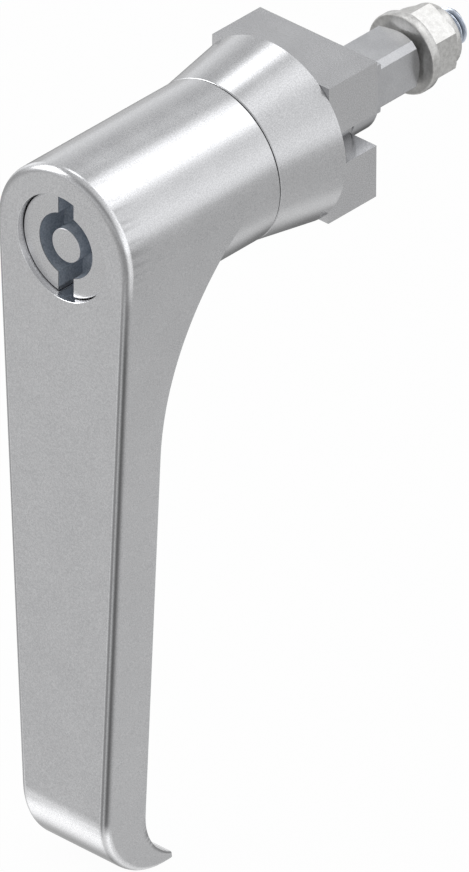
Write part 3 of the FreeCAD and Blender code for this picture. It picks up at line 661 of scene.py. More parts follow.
@dataclass
class Handle(Piece):
    """The lever and its neck, one casting."""

    radius: float = 12.5
    length: float = 31.45
    thickness: float = 8.6
    taper_deg: float = 2.64
    rim: float = 1.35
    back_edge: float = 0.25
    neck_edge: float = 0.2
    straight_z: float = -13.5
    toe_radius: float = 13.0
    toe_z: float = -91.66
    toe_rims: Tuple[float, ...] = (1.15, 0.8, 0.5)
    toe_rims_deg: Triple = (50.0, 65.0, 97.0)
    tip_reach: float = 14.5
    least_thickness: float = 0.5
    rounded_share: float = 0.42
    hook: Pair = (18.6, -94.25)
    hook_radius: float = 10.0
    sweep: Pair = (49.6, -33.5)
    sweep_radius: float = 41.0
    bore: float = 8.2
    bore_depth: float = 18.5
    mouth_edge: float = 0.05
    socket: Pair = (22.0, 4.55)
    screw_hole: float = 2.15
    bolt_offset: float = 6.4
    bolt_head: float = 1.65
    bolt_seat: float = 28.6
    bolt_shank: float = 1.25

    name = "lever_casting"
    body = "turning_handle"
    nodes = ("handle",)
    finish = SATIN
    top_spans = 40
    low_spans = 30
    straight_spans = 15
    sweep_spans = 20
    toe_spans = 40
    wall_spans = 6

    # painted highlights and shade that stand in for reflections: stations, and how bright the
    # metal is painted there across the rim's round, in degrees from the front face to the side
    rim_lines = (
        [0, 3, 8, 13, 20, 26, 32, 38, 44, 50, 56, 61, 68, 75, 82, 90],
        [1.0, 0.85, 1.3, 0.85, 0.45, 0.55, 0.98, 0.65,
         0.3, 0.26, 0.36, 0.52, 0.74, 0.9, 0.97, 1.0],
    )
    top_lines = ([0, 30, 46, 62, 78, 90], [1.0, 0.6, 0.6, 1.75, 1.7, 0.8])
    toe_lines = ([0, 20, 38, 55, 72, 90], [1.0, 0.7, 1.1, 1.75, 1.5, 1.05])
    # along the toe, from where it starts (0) to the tip (1)
    toe_painted_light = (
        [0.0, 0.06, 0.12, 0.18, 0.24, 0.3, 0.36, 0.6, 1.0],
        [0.95, 1.3, 1.7, 1.75, 1.5, 0.95, 0.52, 0.5, 0.9],
    )
    # painted shade on the back edge and painted highlight on the back, both towards the tip;
    # painted highlight on the bore wall near its mouth
    edge_shade = ([0.3, 0.6], [1.0, 0.5])
    back_painted_highlight = ([0.45, 0.7], [1.0, 1.7])
    bore_shine = np.array([[1.0], [1.6], [1.0]])
    band_fade = 8  # how soon the toe's painted highlight fades across the rim's round
    # shares of the lines: along the toe, by height, and by angle round the top
    toe_share = ([0.02, 0.14, 0.75, 1.0], [0.0, 1.0, 1.0, 0.3])
    rim_share = ([-14.0, -0.5], [1.0, 0.6])
    top_share = ([-5.0, -0.6], [0.0, 0.7])
    crown_rim_share = ([0, 90], [0.6, 0.3])
    crown_top_share = ([-2.6, 5, 40, 75, 90], [0.7, 1.0, 1.0, 0.4, 0.2])

    def half_width(self, z: Array) -> Array:
        """Half the lever's width: an arc above the shoulder, a straight taper below.

        Args:
            z: Heights.

        Returns:
            Half widths.
        """
        taper = math.radians(self.taper_deg)
        shoulder = -self.radius * math.sin(taper)
        straight = self.radius * math.cos(taper) + (z - shoulder) * math.tan(taper)
        return np.where(z > shoulder, self.neck_width(z), straight)

    def neck_width(self, z: Array) -> Array:
        """Half the neck's width at a height, 0 below it."""
        return np.sqrt(np.maximum(self.radius**2 - z**2, 0.0))

    def back_depth(self, z: Array) -> Array:
        """Depth of the lever's back at a height, sweep included."""
        rise = np.maximum(z - self.sweep[1], 0.0)
        return self.sweep[0] - np.sqrt(self.sweep_radius**2 - rise**2)

    def top_turn(self) -> Array:
        """Angles round the neck from the top to the shoulder."""
        return np.radians(np.linspace(90.0, -self.taper_deg, self.top_spans + 1))

    def low_turn(self) -> Array:
        """Angles round the neck from the shoulder to the bottom."""
        return np.radians(np.linspace(-self.taper_deg, -90.0, self.low_spans + 1))

    def half_turn(self) -> Array:
        """Angles round the neck from the top to the bottom."""
        return np.concatenate([self.top_turn(), self.low_turn()[1:]])

    def rim_tone(self, across: Array, rim_share: Array, top_share: Array) -> Array:
        """How bright the rim is painted: lines of painted highlight and shade that stand in for
        reflections, blended to those of the round top.

        Args:
            across: Angles across the rim's round in degrees.
            rim_share: How strong the lines are.
            top_share: How far they give way to the round top's.

        Returns:
            The painted highlights and shade.
        """
        lines = 1.0 + (np.interp(across, *self.rim_lines) - 1.0) * rim_share
        return lines + (np.interp(across, *self.top_lines) - lines) * top_share

    def side_curve(self) -> Tuple[Array, Array, Array, Array, Array]:
        """The lever's side from the shoulder to the tip.

        The toe's front is an arc. Its thickness runs along the arc's radius, to the back or
        to the hook's circle, whichever the radius meets.

        Returns:
            Front points, inward directions, thicknesses, rim radii and back edge radii.
        """
        z = np.concatenate([
            self.radius * np.sin(self.low_turn()),
            np.linspace(self.straight_z, self.sweep[1], self.straight_spans + 1),
            np.linspace(self.sweep[1], self.toe_z, self.sweep_spans + 1)[1:],
        ])
        front = np.stack([np.zeros_like(z), z], axis=-1)
        inward = np.stack([np.ones_like(z), np.zeros_like(z)], axis=-1)
        thick = self.back_depth(z)
        spare = np.maximum(self.half_width(z) - self.neck_width(z), 0.0)
        edge = np.minimum(self.back_edge, spare * 0.5)
        rim = np.full_like(z, self.rim)

        end = math.acos((self.toe_radius - self.tip_reach) / self.toe_radius)
        beta = np.linspace(0.0, end, self.toe_spans + 1)[1:]
        toe_front = np.stack([
            self.toe_radius * (1.0 - np.cos(beta)), self.toe_z - self.toe_radius * np.sin(beta)
        ], axis=-1)
        toe_in = np.stack([np.cos(beta), np.sin(beta)], axis=-1)
        away = toe_front - np.array(self.hook)
        along = (away * toe_in).sum(axis=-1)
        inside = np.maximum(along**2 - (away**2).sum(axis=-1) + self.hook_radius**2, 0.0)
        to_hook = -along - np.sqrt(inside)
        with np.errstate(divide="ignore", invalid="ignore"):
            to_back = (self.thickness - toe_front[:, 0]) / toe_in[:, 0]
        hit_z = toe_front[:, 1] + to_hook * toe_in[:, 1]
        toe_thick = np.where((hit_z > self.hook[1]) & (to_back > 0.0), to_back, to_hook)
        toe_thick = np.maximum(toe_thick, self.least_thickness)
        most = toe_thick * self.rounded_share
        stations = [0.0, *self.toe_rims_deg]
        toe_rim = np.interp(np.degrees(beta), stations, [self.rim, *self.toe_rims])
        return (
            np.concatenate([front, toe_front]), np.concatenate([inward, toe_in]),
            np.concatenate([thick, toe_thick]),
            np.concatenate([rim, np.minimum(toe_rim, most)]),
            np.concatenate([edge, np.minimum(self.back_edge, most)]),
        )

    def shape(self) -> Skin:
        """The half to the right of the axis, mirrored.

        Returns:
            The skin.
        """
        skin = Skin()
        front, inward, thick, rim, edge = self.side_curve()
        z = front[:, 1]

        def at(depth: Array, inset: Array, full: bool = True) -> Array:
            """Points along the inward lines.

            Args:
                depth: Distance along them.
                inset: Distance in from the half width, or from the middle.
                full: Whether it is from the half width.

            Returns:
                A grid of stations by depths.
            """
            place = front[:, None, :] + inward[:, None, :] * depth[..., None]
            x = self.half_width(place[..., 1]) - inset if full else inset
            return world_points(x, place[..., 0], place[..., 1])

        toe_turn = np.concatenate([
            np.zeros(len(front) - self.toe_spans), np.linspace(0.0, 1.0, self.toe_spans + 1)[1:]
        ])
        # painted highlight and shade along the toe and across its rim, standing in for reflections
        painted_tone = np.interp(toe_turn, *self.toe_painted_light)[:, None]
        across = np.degrees(RIM_TURN)
        shown = np.interp(z, *self.rim_share)[:, None]
        near_top = np.interp(z, *self.top_share)[:, None]
        on_toe = np.interp(toe_turn, *self.toe_share)[:, None]
        lines = self.rim_tone(across, shown, near_top)
        band = np.interp(across, *self.toe_lines) * painted_tone ** (np.cos(RIM_TURN) ** self.band_fade)
        rounded = at(*rounded_off(rim[:, None], RIM_TURN))
        skin.grid(rounded, burnish=lines + (band - lines) * on_toe)

        share = np.linspace(0.0, 1.0, self.wall_spans + 1)
        wall = rim[:, None] + (thick - edge - rim)[:, None] * share
        skin.grid(at(wall, np.zeros_like(wall)))
        edge_inset, before_back = rounded_off(edge[:, None], EDGE_TURN)
        # painted shade on the back edge towards the tip
        shaded = np.interp(toe_turn, *self.edge_shade)[:, None]
        skin.grid(at(thick[:, None] - before_back, edge_inset), burnish=shaded)

        # the back and the toe run across to the middle, or to the neck where it stands out
        back_out = at(thick[:, None], edge[:, None])
        back_in = at(thick[:, None], self.neck_width(z)[:, None], full=False)
        # painted highlight on the back towards the tip
        back_highlight = np.interp(toe_turn, *self.back_painted_highlight)[:, None]
        skin.grid(np.concatenate([back_out, back_in], axis=1), burnish=back_highlight)
        toe = slice(len(front) - self.toe_spans - 1, None)
        none = np.zeros((len(front), 1))
        toe_out = at(none, rim[:, None])[toe]
        toe_in = at(none, none, full=False)[toe]
        skin.grid(np.concatenate([toe_out, toe_in], axis=1), burnish=painted_tone[toe])
        self._tip(skin, front[-1], inward[-1], thick[-1], rim[-1], edge[-1])
        self._neck(skin, wall[0], rounded[0])
        self._bores(skin)
        self._front(skin, toe_in[0], z, rim)
        return skin.mirrored()

    def _tip(self, skin: Skin, front: Array, inward: Array, thick: float, rim: float,
             edge: float) -> None:
        """Closes the foot's end with one flat face.

        Args:
            skin: The skin to add it to.
            front: Depth and height of the end's front.
            inward: Direction of its thickness.
            thick: Its thickness.
            rim: Radius of its front round.
            edge: Radius of its back round.
        """
        rim_depth, rim_inset = rounded_off(rim, TIP_TURN)
        edge_inset, before_back = rounded_off(edge, EDGE_TURN)
        depth = np.concatenate([[0.0], rim_depth, thick - before_back, [thick]])
        inset = np.concatenate([rim_inset, edge_inset])
        place = front + inward * depth[:, None]
        x = np.zeros_like(depth)  # the first and the last point lie in the middle
        x[1:-1] = self.half_width(place[1:-1, 1]) - inset
        skin.polygon(world_points(x, place[:, 0], place[:, 1]))

    def _neck(self, skin: Skin, wall: Array, shoulder: Array) -> None:
        """Adds the round top with its rim and the neck behind it.

        Args:
            skin: The skin to add them to.
            wall: Depths of the lever's side at the shoulder.
            shoulder: The rim's points where the lever's side starts.
        """
        top, low = self.top_turn(), self.low_turn()
        r, rear, lip = self.radius, self.length, self.neck_edge
        across, turn = np.degrees(RIM_TURN)[:, None], np.degrees(top)
        # painted highlight and shade on the round top's rim, standing in for reflections
        shares = (np.interp(turn, *self.crown_rim_share), np.interp(turn, *self.crown_top_share))
        crown_painted_light = self.rim_tone(across, *shares)
        rim_depth, rim_inset = rounded_off(self.rim, RIM_TURN)
        ring = turned(np.stack([rim_depth, r - rim_inset], axis=-1), top)
        skin.grid(ring, burnish=crown_painted_light)
        skin.grid(np.stack([ring[:, -1], shoulder]), burnish=np.stack([crown_painted_light[:, -1]] * 2))
        lip_profile = rounding((rear - lip, r - lip), lip, 90.0, 0.0, 4)
        skin.grid(turned([(w, r) for w in wall] + lip_profile, top))
        meet = self.back_depth(r * np.sin(low))
        depth = np.stack([meet, np.full_like(meet, rear - lip)])
        skin.grid(world_points(r * np.cos(low), depth, r * np.sin(low)))
        skin.grid(turned(lip_profile, low))

    def _bores(self, skin: Skin) -> None:
        """Adds the plug's bore, the spindle's socket, the screw's and the bolt's holes.

        Args:
            skin: The skin to add them to.
        """
        around = self.half_turn()
        floor, rear, bore, edge = self.bore_depth, self.length, self.bore, self.mouth_edge
        bottom, socket = self.socket
        mouth = [(floor, bore), (edge, bore), (0.0, bore + edge)]
        skin.grid(turned(mouth, around), burnish=self.bore_shine)
        screw = self.screw_hole
        steps = [(rear, socket), (bottom, socket), (bottom, screw), (floor, screw)]
        skin.grid(turned(steps, around))
        head, shank = (self.bolt_offset, self.bolt_head), (self.bolt_offset, self.bolt_shank)
        outer = self.radius - self.neck_edge
        for depth, near, far, hole in ((rear, socket, outer, shank), (floor, screw, bore, head)):
            skin.polygon(flat(pierced_ring(around, near, far, hole, False, True), depth))
        seat = self.bolt_seat
        holes = ((floor, head), (seat, head), (seat, shank), (rear, shank))
        skin.grid(np.stack([
            flat(bolt_circle(-90.0, 1.0, *hole, HALF_HOLE), depth) for depth, hole in holes
        ]))

    def _front(self, skin: Skin, toe_middle: Array, z: Array, rim: Array) -> None:
        """Adds the flat front face round the bore.

        Args:
            skin: The skin to add it to.
            toe_middle: Point in the middle, where the toe starts.
            z: Heights of the lever's stations.
            rim: Rim radii there.
        """
        mouth = turned([(0.0, self.bore + self.mouth_edge)], self.half_turn())[0]
        round_top = turned([(0.0, self.radius - self.rim)], self.top_turn())[0]
        flat = slice(0, len(z) - self.toe_spans)
        side = world_points(self.half_width(z[flat]) - rim[flat], 0.0, z[flat])
        skin.polygon(np.concatenate([mouth, toe_middle[:1], side[::-1], round_top[::-1]]))


@dataclass
class Housing(Piece):
    """The cone and the square block behind it."""

    front: float = 31.6
    rear: float = 43.1
    front_radius: float = 12.5
    front_edge: float = 0.2
    rear_radius: float = 14.3
    rear_edge: float = 0.12
    bore: float = 5.15
    bolt_hole: Pair = (6.4, 1.22)
    bolt_hole_depth: float = 3.55
    bolt_holes_deg: Pair = (180.0, 270.0)
    block: float = 11.0
    block_rear: float = 53.2
    block_edge: float = 0.12
    hub: float = 6.6
    slot_z: float = 2.65

    name = "housing_casting"
    body = "fixed"
    nodes = ("housing",)
    finish = SATIN
    face_sides = 144
    bore_sides = 64
    hub_spans = 8
    hub_painted_shade = ([-23.8, -8.0, 20.0], [0.62, 0.8, 1.0])  # painted shade on the hub's underside, by angle from the bottom up

    def shape(self) -> Skin:
        """The turned cone and the milled block.

        Returns:
            The skin.
        """
        skin = Skin()
        lip, far = self.front_edge, self.rear_edge
        profile = rounding((self.front + lip, self.front_radius - lip), lip, 180.0, 90.0, 4)
        profile += rounding((self.rear - far, self.rear_radius - far), far, 90.0, 0.0, 3)
        profile += [(self.rear, self.bore), (self.front, self.bore)]
        skin.grid(turned(profile, circle_angles(self.face_sides)), closed=True)
        self._front(skin, self.front_radius - lip)
        outline = self._outline()
        inner = self._inset(outline, self.block_edge)
        walls = np.stack([
            flat(outline, self.rear), flat(outline, self.block_rear - self.block_edge),
            flat(inner, self.block_rear),
        ])
        # painted shade on the round hub, darker towards its underside
        low = np.degrees(np.arctan2(outline[:, 1], np.abs(outline[:, 0])))
        on_hub = np.hypot(outline[:, 0], outline[:, 1]) < self.hub + NEAR_MM
        painted_tone = np.where(on_hub, np.interp(low, *self.hub_painted_shade), 1.0)
        skin.grid(walls, closed=True, burnish=np.stack([painted_tone] * 3))
        arc = np.linspace(0.0, math.pi, self.bore_sides // 2 + 1)
        bore = np.stack([np.cos(arc), np.sin(arc)], axis=-1) * self.bore
        half = len(outline) // 2 + 1
        for loop, depth in ((outline, self.rear), (inner, self.block_rear)):
            upper = np.concatenate([loop[:half], bore[::-1]])
            for sign in (1.0, -1.0):
                skin.polygon(flat(upper * (1.0, sign), depth))
        through = [(self.rear, self.bore), (self.block_rear, self.bore)]
        skin.grid(turned(through, circle_angles(self.bore_sides)), closed=True)
        return skin

    def _front(self, skin: Skin, outer: float) -> None:
        """Adds the front face and a bolt hole for each end of the handle's turn.

        Args:
            skin: The skin to add them to.
            outer: The face's radius.
        """
        first, last = self.bolt_holes_deg
        step = 360.0 / self.face_sides
        for start, end in ((first, last), (last, first + 360.0)):
            angles = np.radians(np.arange(start, end + step / 2.0, step))
            loop = pierced_ring(angles, self.bore, outer, self.bolt_hole, True, True)
            skin.polygon(flat(loop, self.front))
        for turn in self.bolt_holes_deg:
            ring = bolt_circle(turn, 1.0, *self.bolt_hole, FULL_HOLE)
            bottom = flat(ring, self.front + self.bolt_hole_depth)
            skin.grid(np.stack([flat(ring, self.front), bottom]), closed=True).polygon(bottom)

    def _outline(self) -> Array:
        """The block's outline, with a slot in from each side down to the round hub.

        Returns:
            Pairs of X and Z, anticlockwise from the right.
        """
        b, sz = self.block, self.slot_z
        arc = np.linspace(0.0, math.asin(sz / self.hub), self.hub_spans + 1)
        right = np.stack([np.cos(arc), np.sin(arc)], axis=-1) * self.hub
        lugs = np.array([(b, sz), (b, b), (-b, b), (-b, sz)])
        upper = np.concatenate([right, lugs, right[::-1] * (-1.0, 1.0)])
        return np.concatenate([upper, upper[::-1][1:-1] * (1.0, -1.0)])

    @staticmethod
    def _inset(loop: Array, amount: float) -> Array:
        """Draws a loop inwards along the bisector of each corner.

        Args:
            loop: Points that run anticlockwise.
            amount: Distance between the old and the new sides.

        Returns:
            The smaller loop.
        """
        before = loop - np.roll(loop, 1, axis=0)
        after = np.roll(loop, -1, axis=0) - loop
        normals = []
        for way in (before, after):
            unit = way / np.linalg.norm(way, axis=1, keepdims=True)
            normals.append(np.stack([-unit[:, 1], unit[:, 0]], axis=-1))
        both = normals[0] + normals[1]
        scale = 2.0 / (both**2).sum(axis=1, keepdims=True)
        return loop + both * scale * amount


class Rod(Piece):
    """A piece whose radius is known for each angle at each depth."""

    angles = circle_angles(96)
    solid = True

    def stations(self) -> Stations:
        """Depths and radii, from one end to the other."""
        raise NotImplementedError

    def shape(self) -> Skin:
        """Joins the stations into a closed skin.

        Returns:
            The skin.
        """
        stations = self.stations()
        depth = np.array([d for d, _ in stations])[:, None]
        radius = np.stack([r for _, r in stations])
        rows = world_points(radius * np.cos(self.angles), depth, radius * np.sin(self.angles))
        skin = Skin().grid(rows, closed=True, burnish=self.painted_levels(depth, radius))
        if self.solid:
            skin.polygon(rows[0]).polygon(rows[-1])
        return skin

    def painted_levels(self, depth: Array, radius: Array) -> Array:
        """How bright each point is painted as highlight or shade; none here, so 1 everywhere."""
        return np.ones_like(radius)

    def even(self, radius: float) -> Array:
        """The same radius at every angle."""
        return np.full_like(self.angles, radius)


@dataclass
class Spindle(Rod):
    """Tapped tenon, journal, collar, square and threaded end."""

    tapped: Triple = (22.1, 30.7, 2.02)
    half_tenon: float = 3.5
    tenon_corner: float = 4.4
    journal: Pair = (37.0, 5.1)
    collar: Triple = (53.35, 58.5, 6.6)
    collar_edge: float = 0.15
    half_square: float = 4.0
    sharp_corner: float = 0.08
    chamfer: float = 0.92
    sharp_rear: float = 61.75
    square_rear: float = 70.3
    cone_start: Pair = (69.25, 5.05)
    cone_slope: float = 1.6154
    neck_radius: float = 2.4
    thread_start: float = 74.3
    stud_end: float = 81.5
    stud_radius: float = 3.0
    stud_chamfer: float = 0.5
    stud_tip: float = 2.3
    pitch: float = 1.0
    thread_depth: float = 0.61
    root_share: float = 0.14
    flank_share: float = 0.74

    name = "square_spindle"
    body = "turning_handle"
    nodes = ("spindle",)
    finish = SPINDLE_STEEL
    angles = circle_angles(96, [q + s for q in (0, 90, 180, 270) for s in (37.597, 45.0, 52.403)])
    rows_per_turn = 14
    cone_step = 0.07
    cone_lead = 0.1  # from the square's last full row to the cone
    journal_margin = 0.1  # what lies further out than this belongs to the collar
    thread_painted_light = ([2.4, 2.65, 2.92], [0.35, 0.8, 1.7])  # painted highlight on the crests and painted shade in the roots, by radius
    collar_painted_shade = ([-62, -42, -22, -5], [0.25, 0.4, 0.8, 1.0])  # painted shade on the collar's underside, by angle from the bottom up

    def square(self, corner: float) -> Array:
        """The square's radius at each angle, its corners cut off.

        Args:
            corner: How far the cut lies inside the sharp corner.

        Returns:
            One radius per angle.
        """
        sides = regular_radius(self.angles, self.half_square, 4)
        cut = self.half_square * math.sqrt(2.0) - corner
        return np.minimum(sides, regular_radius(self.angles, cut, 4, 45.0))

    def stations(self) -> Stations:
        """From the tapped hole's bottom to the thread's end.

        Returns:
            Depths and radii.
        """
        tip, bottom, tap = self.tapped
        shoulder, journal = self.journal
        (front, rear, radius), edge = self.collar, self.collar_edge
        start, widest = self.cone_start
        tenon = np.minimum(regular_radius(self.angles, self.half_tenon, 4), self.tenon_corner)
        sharp = self.square(self.sharp_corner)
        plain = self.square(self.chamfer / math.sqrt(2.0))
        rows = [
            (bottom, self.even(tap)), (tip, self.even(tap)), (tip, tenon), (shoulder, tenon),
            (shoulder, self.even(journal)), (front, self.even(journal)),
            (front, self.even(radius - edge)), (front + edge, self.even(radius)),
            (rear - edge, self.even(radius)), (rear, self.even(radius - edge)),
            (rear, sharp), (self.sharp_rear, sharp),
            (self.sharp_rear, plain), (start - self.cone_lead, plain),
        ]
        for depth in np.arange(start, self.square_rear + NEAR_MM, self.cone_step):
            cone = widest - (depth - start) * self.cone_slope
            rows.append((float(depth), np.minimum(plain, cone)))
        rows.append((self.square_rear, self.even(self.neck_radius)))
        return rows + self.thread()

    def painted_levels(self, depth: Array, radius: Array) -> Array:
        """Painted highlights on the thread's crests, painted shade in its roots and on the
        collar's underside.

        Args:
            depth: Depth of each row.
            radius: Radius of each point.

        Returns:
            How bright each point is painted.
        """
        low = np.degrees(np.arcsin(np.sin(self.angles)))
        front, rear, _ = self.collar
        on_collar = (depth > front - NEAR_MM) & (depth < rear + NEAR_MM)
        on_collar = on_collar & (radius > self.journal[1] + self.journal_margin)
        level = np.where(on_collar, np.interp(low, *self.collar_painted_shade), 1.0)
        on_thread = (depth > self.thread_start - NEAR_MM) & (depth < self.stud_end - NEAR_MM)
        return np.where(on_thread, np.interp(radius, *self.thread_painted_light), level)

    def thread(self) -> Stations:
        """A helix whose radius rises and falls once per pitch, with a chamfered end.

        Returns:
            Depths and radii.
        """
        turn = self.angles / (2.0 * math.pi)
        step = self.pitch / self.rows_per_turn
        rows = []
        for depth in np.arange(self.thread_start, self.stud_end - TINY_MM, step):
            phase = (depth / self.pitch + turn) % 1.0
            slope = (np.abs(phase - 0.5) * 2.0 - self.root_share) / self.flank_share
            radius = self.stud_radius - self.thread_depth * (1.0 - np.clip(slope, 0.0, 1.0))
            cut = np.clip(depth - (self.stud_end - self.stud_chamfer), 0.0, self.stud_chamfer)
            rows.append((float(depth), np.minimum(radius, self.stud_radius - cut)))
        rows.append((self.stud_end, self.even(self.stud_tip)))
        return rows


@dataclass
class FlangeNut(Rod):
    """Round flange, hexagon and domed crown."""

    start: float = 70.32
    bore: float = 3.02
    flange: float = 6.2
    flange_front_round: Tuple[Pair, ...] = ((0.0, 0.3), (0.1, 0.07), (0.3, 0.0))
    flange_rear: float = 72.05
    flange_rear_round: Tuple[Pair, ...] = ((-0.3, 0.0), (-0.1, 0.08))
    hex_foot: Triple = (0.28, 0.05, 0.5)
    hex_half: float = 5.0
    hex_rear: float = 76.6
    hex_chamfer: Pair = (0.2, 1.6)
    crown: float = 4.92
    crown_start: float = 77.45
    crown_round: Pair = (0.65, 0.45)
    crown_rear: float = 78.1
    crown_mouth: float = 3.5

    name = "flange_nut_zinc"
    body = "turning_handle"
    nodes = ("flange_nut",)
    finish = NUT
    angles = circle_angles(120, range(30, 360, 60))
    solid = False
    chamfer_steps = 4
    chamfer_spare = 0.03  # how far outside the hexagon's corners the chamfer begins
    crown_turn = np.radians(np.linspace(15.0, 90.0, 6))
    # painted shade on the flange's front face
    front_painted_shade = 0.6

    def stations(self) -> Stations:
        """From the flange's face over the crown and back through the bore.

        Returns:
            Depths and radii.
        """
        even, bore = self.even, self.even(self.bore)
        front, rear, radius = self.start, self.flange_rear, self.flange
        hexagon = regular_radius(self.angles, self.hex_half, 6)
        rows = [(front, bore)]
        for face, steps in ((front, self.flange_front_round), (rear, self.flange_rear_round)):
            rows += [(face + along, even(radius - inset)) for along, inset in steps]
        fillet, spread, foot = self.hex_foot
        swollen = np.maximum(hexagon, self.hex_half + spread)
        rows += [(rear + fillet, swollen), (rear + foot, hexagon)]
        back, slope = self.hex_chamfer
        corner = self.hex_half / math.cos(math.radians(30.0)) + self.chamfer_spare
        for depth in np.linspace(self.hex_rear - back, self.hex_rear, self.chamfer_steps):
            limit = corner - (depth - self.hex_rear + back) * slope
            rows.append((float(depth), np.minimum(hexagon, limit)))
        rows += [(self.hex_rear, even(self.hex_half)), (self.crown_start, even(self.crown))]
        along, across = self.crown_round
        for turn in self.crown_turn:
            out = self.crown - across * (1.0 - math.cos(turn))
            rows.append((self.crown_start + along * math.sin(turn), even(out)))
        end = self.crown_rear
        return rows + [(end, even(self.crown_mouth)), (end - across, bore), (front, bore)]

    def painted_levels(self, depth: Array, radius: Array) -> Array:
        """Painted shade on the flange's front face."""
        on_front = (depth < self.start + NEAR_MM) & (radius > self.crown_mouth)
        return np.where(on_front, self.front_painted_shade, 1.0)


@dataclass
class LockPlug(Piece):
    """The plug with its ring groove and its two key slots."""

    face: float = 1.0
    radius: float = 8.1
    rim: float = 0.4
    ring: float = 5.0
    half_slot: float = 1.45
    floor: float = 6.0
    jaw_root: float = 0.5
    seal_groove: Triple = (8.4, 9.6, 7.65)
    wire_groove: Triple = (10.35, 11.65, 6.95)
    shoulder: Pair = (13.0, 4.7)
    rear: float = 16.0
    hollow: Pair = (12.5, 4.0)

    name = "plug_face"
    body = "key_plug"
    nodes = ("lock_plug",)
    finish = LOCK
    jaw_spans = 60
    sides = 96

    def shape(self) -> Skin:
        """Two jaws on a solid body.

        Returns:
            The skin.
        """
        skin = Skin()
        share = np.linspace(-1.0, 1.0, self.jaw_spans + 1)
        face, r, rim, root = self.face, self.radius, self.rim, self.floor + self.jaw_root
        rim_profile = rounding((face + rim, r - rim), rim, 180.0, 90.0, 6)
        outer = self._arcs(rim_profile + [(root, r)], share)
        inner = self._arcs([(root, self.ring), (face, self.ring)], share)
        for patch in (outer, inner, np.stack([inner[-1], outer[0]]),
                      np.stack([outer[-1], inner[0]])):
            skin.grid(patch)
        for side in (0, -1):
            skin.polygon(np.concatenate([outer[:, side], inner[:, side]]))
        skin.mirrored()
        body = [(self.floor, TINY_MM), (self.floor, r)]
        for start, end, depth in (self.seal_groove, self.wire_groove):
            body += [(start, r), (start, depth), (end, depth), (end, r)]
        (step, neck), (hollow, wall) = self.shoulder, self.hollow
        body += [(step, r), (step, neck), (self.rear, neck), (self.rear, wall), (hollow, wall),
                 (hollow, TINY_MM)]
        skin.grid(turned(body, circle_angles(self.sides)), closed=True)
        return skin

    def _arcs(self, profile: Sequence[Pair], share: Array) -> Array:
        """Arcs of each radius that end on the slot's straight sides.

        Args:
            profile: Pairs of depth and radius.
            share: Places along an arc, from -1 to 1.

        Returns:
            A grid of profile stations by places.
        """
        rows = []
        for depth, radius in profile:
            angle = share * math.acos(self.half_slot / radius)
            rows.append(world_points(radius * np.cos(angle), depth, radius * np.sin(angle)))
        return np.stack(rows)


@dataclass
class KeyPin(Piece):
    """The pin that the hollow key slides over."""

    face: float = 1.0
    radius: float = 2.62
    edge: float = 0.12
    root: float = 8.5

    name = "key_pin_round"
    body = "key_plug"
    nodes = ("key_pin",)
    finish = LOCK
    sides = 72

    def shape(self) -> Skin:
        """A short round pin with a broken edge.

        Returns:
            The skin.
        """
        centre = (self.face + self.edge, self.radius - self.edge)
        profile = [(self.face, TINY_MM)] + rounding(centre, self.edge, 180.0, 90.0, 4)
        profile += [(self.root, self.radius), (self.root, TINY_MM)]
        return Skin().grid(turned(profile, circle_angles(self.sides)), closed=True)


INNER_FINISHES: Dict[str, Finish] = {
    "lock_cam": STEEL, "lock_bolt": STEEL, "spindle_screw": STEEL, "screw_washer": STEEL,
    "stop_pin": STEEL, "cam_clip": WIRE, "plug_snap_ring": WIRE, "bolt_spring": WIRE,
    "detent_ball": WIRE, "detent_spring": WIRE, "plug_seal": RUBBER, "spindle_seal": RUBBER,
    "neck_seal": RUBBER, "thrust_washer": NYLON,
}


class Latch:
    """The whole latch: its visible pieces and the CAD pieces inside."""

    def __init__(self) -> None:
        """Lists the visible pieces."""
        self.pieces: Tuple[Piece, ...] = (
            Handle(), Housing(), Spindle(), FlangeNut(), LockPlug(), KeyPin()
        )

    def build(self) -> None:
        """Makes every visible piece and finishes the inner ones."""
        for piece in self.pieces:
            piece.build()
        for node, finish in INNER_FINISHES.items():
            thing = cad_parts[node]
            thing.data.materials.clear()
            thing.data.materials.append(finish.material())
            log.info("%s: finished as %s", node, finish.slot)


@dataclass(frozen=True)
class Glow:
    """A soft patch of light in the studio's surroundings."""

    towards: Triple
    inner_deg: float
    outer_deg: float
    strength: float


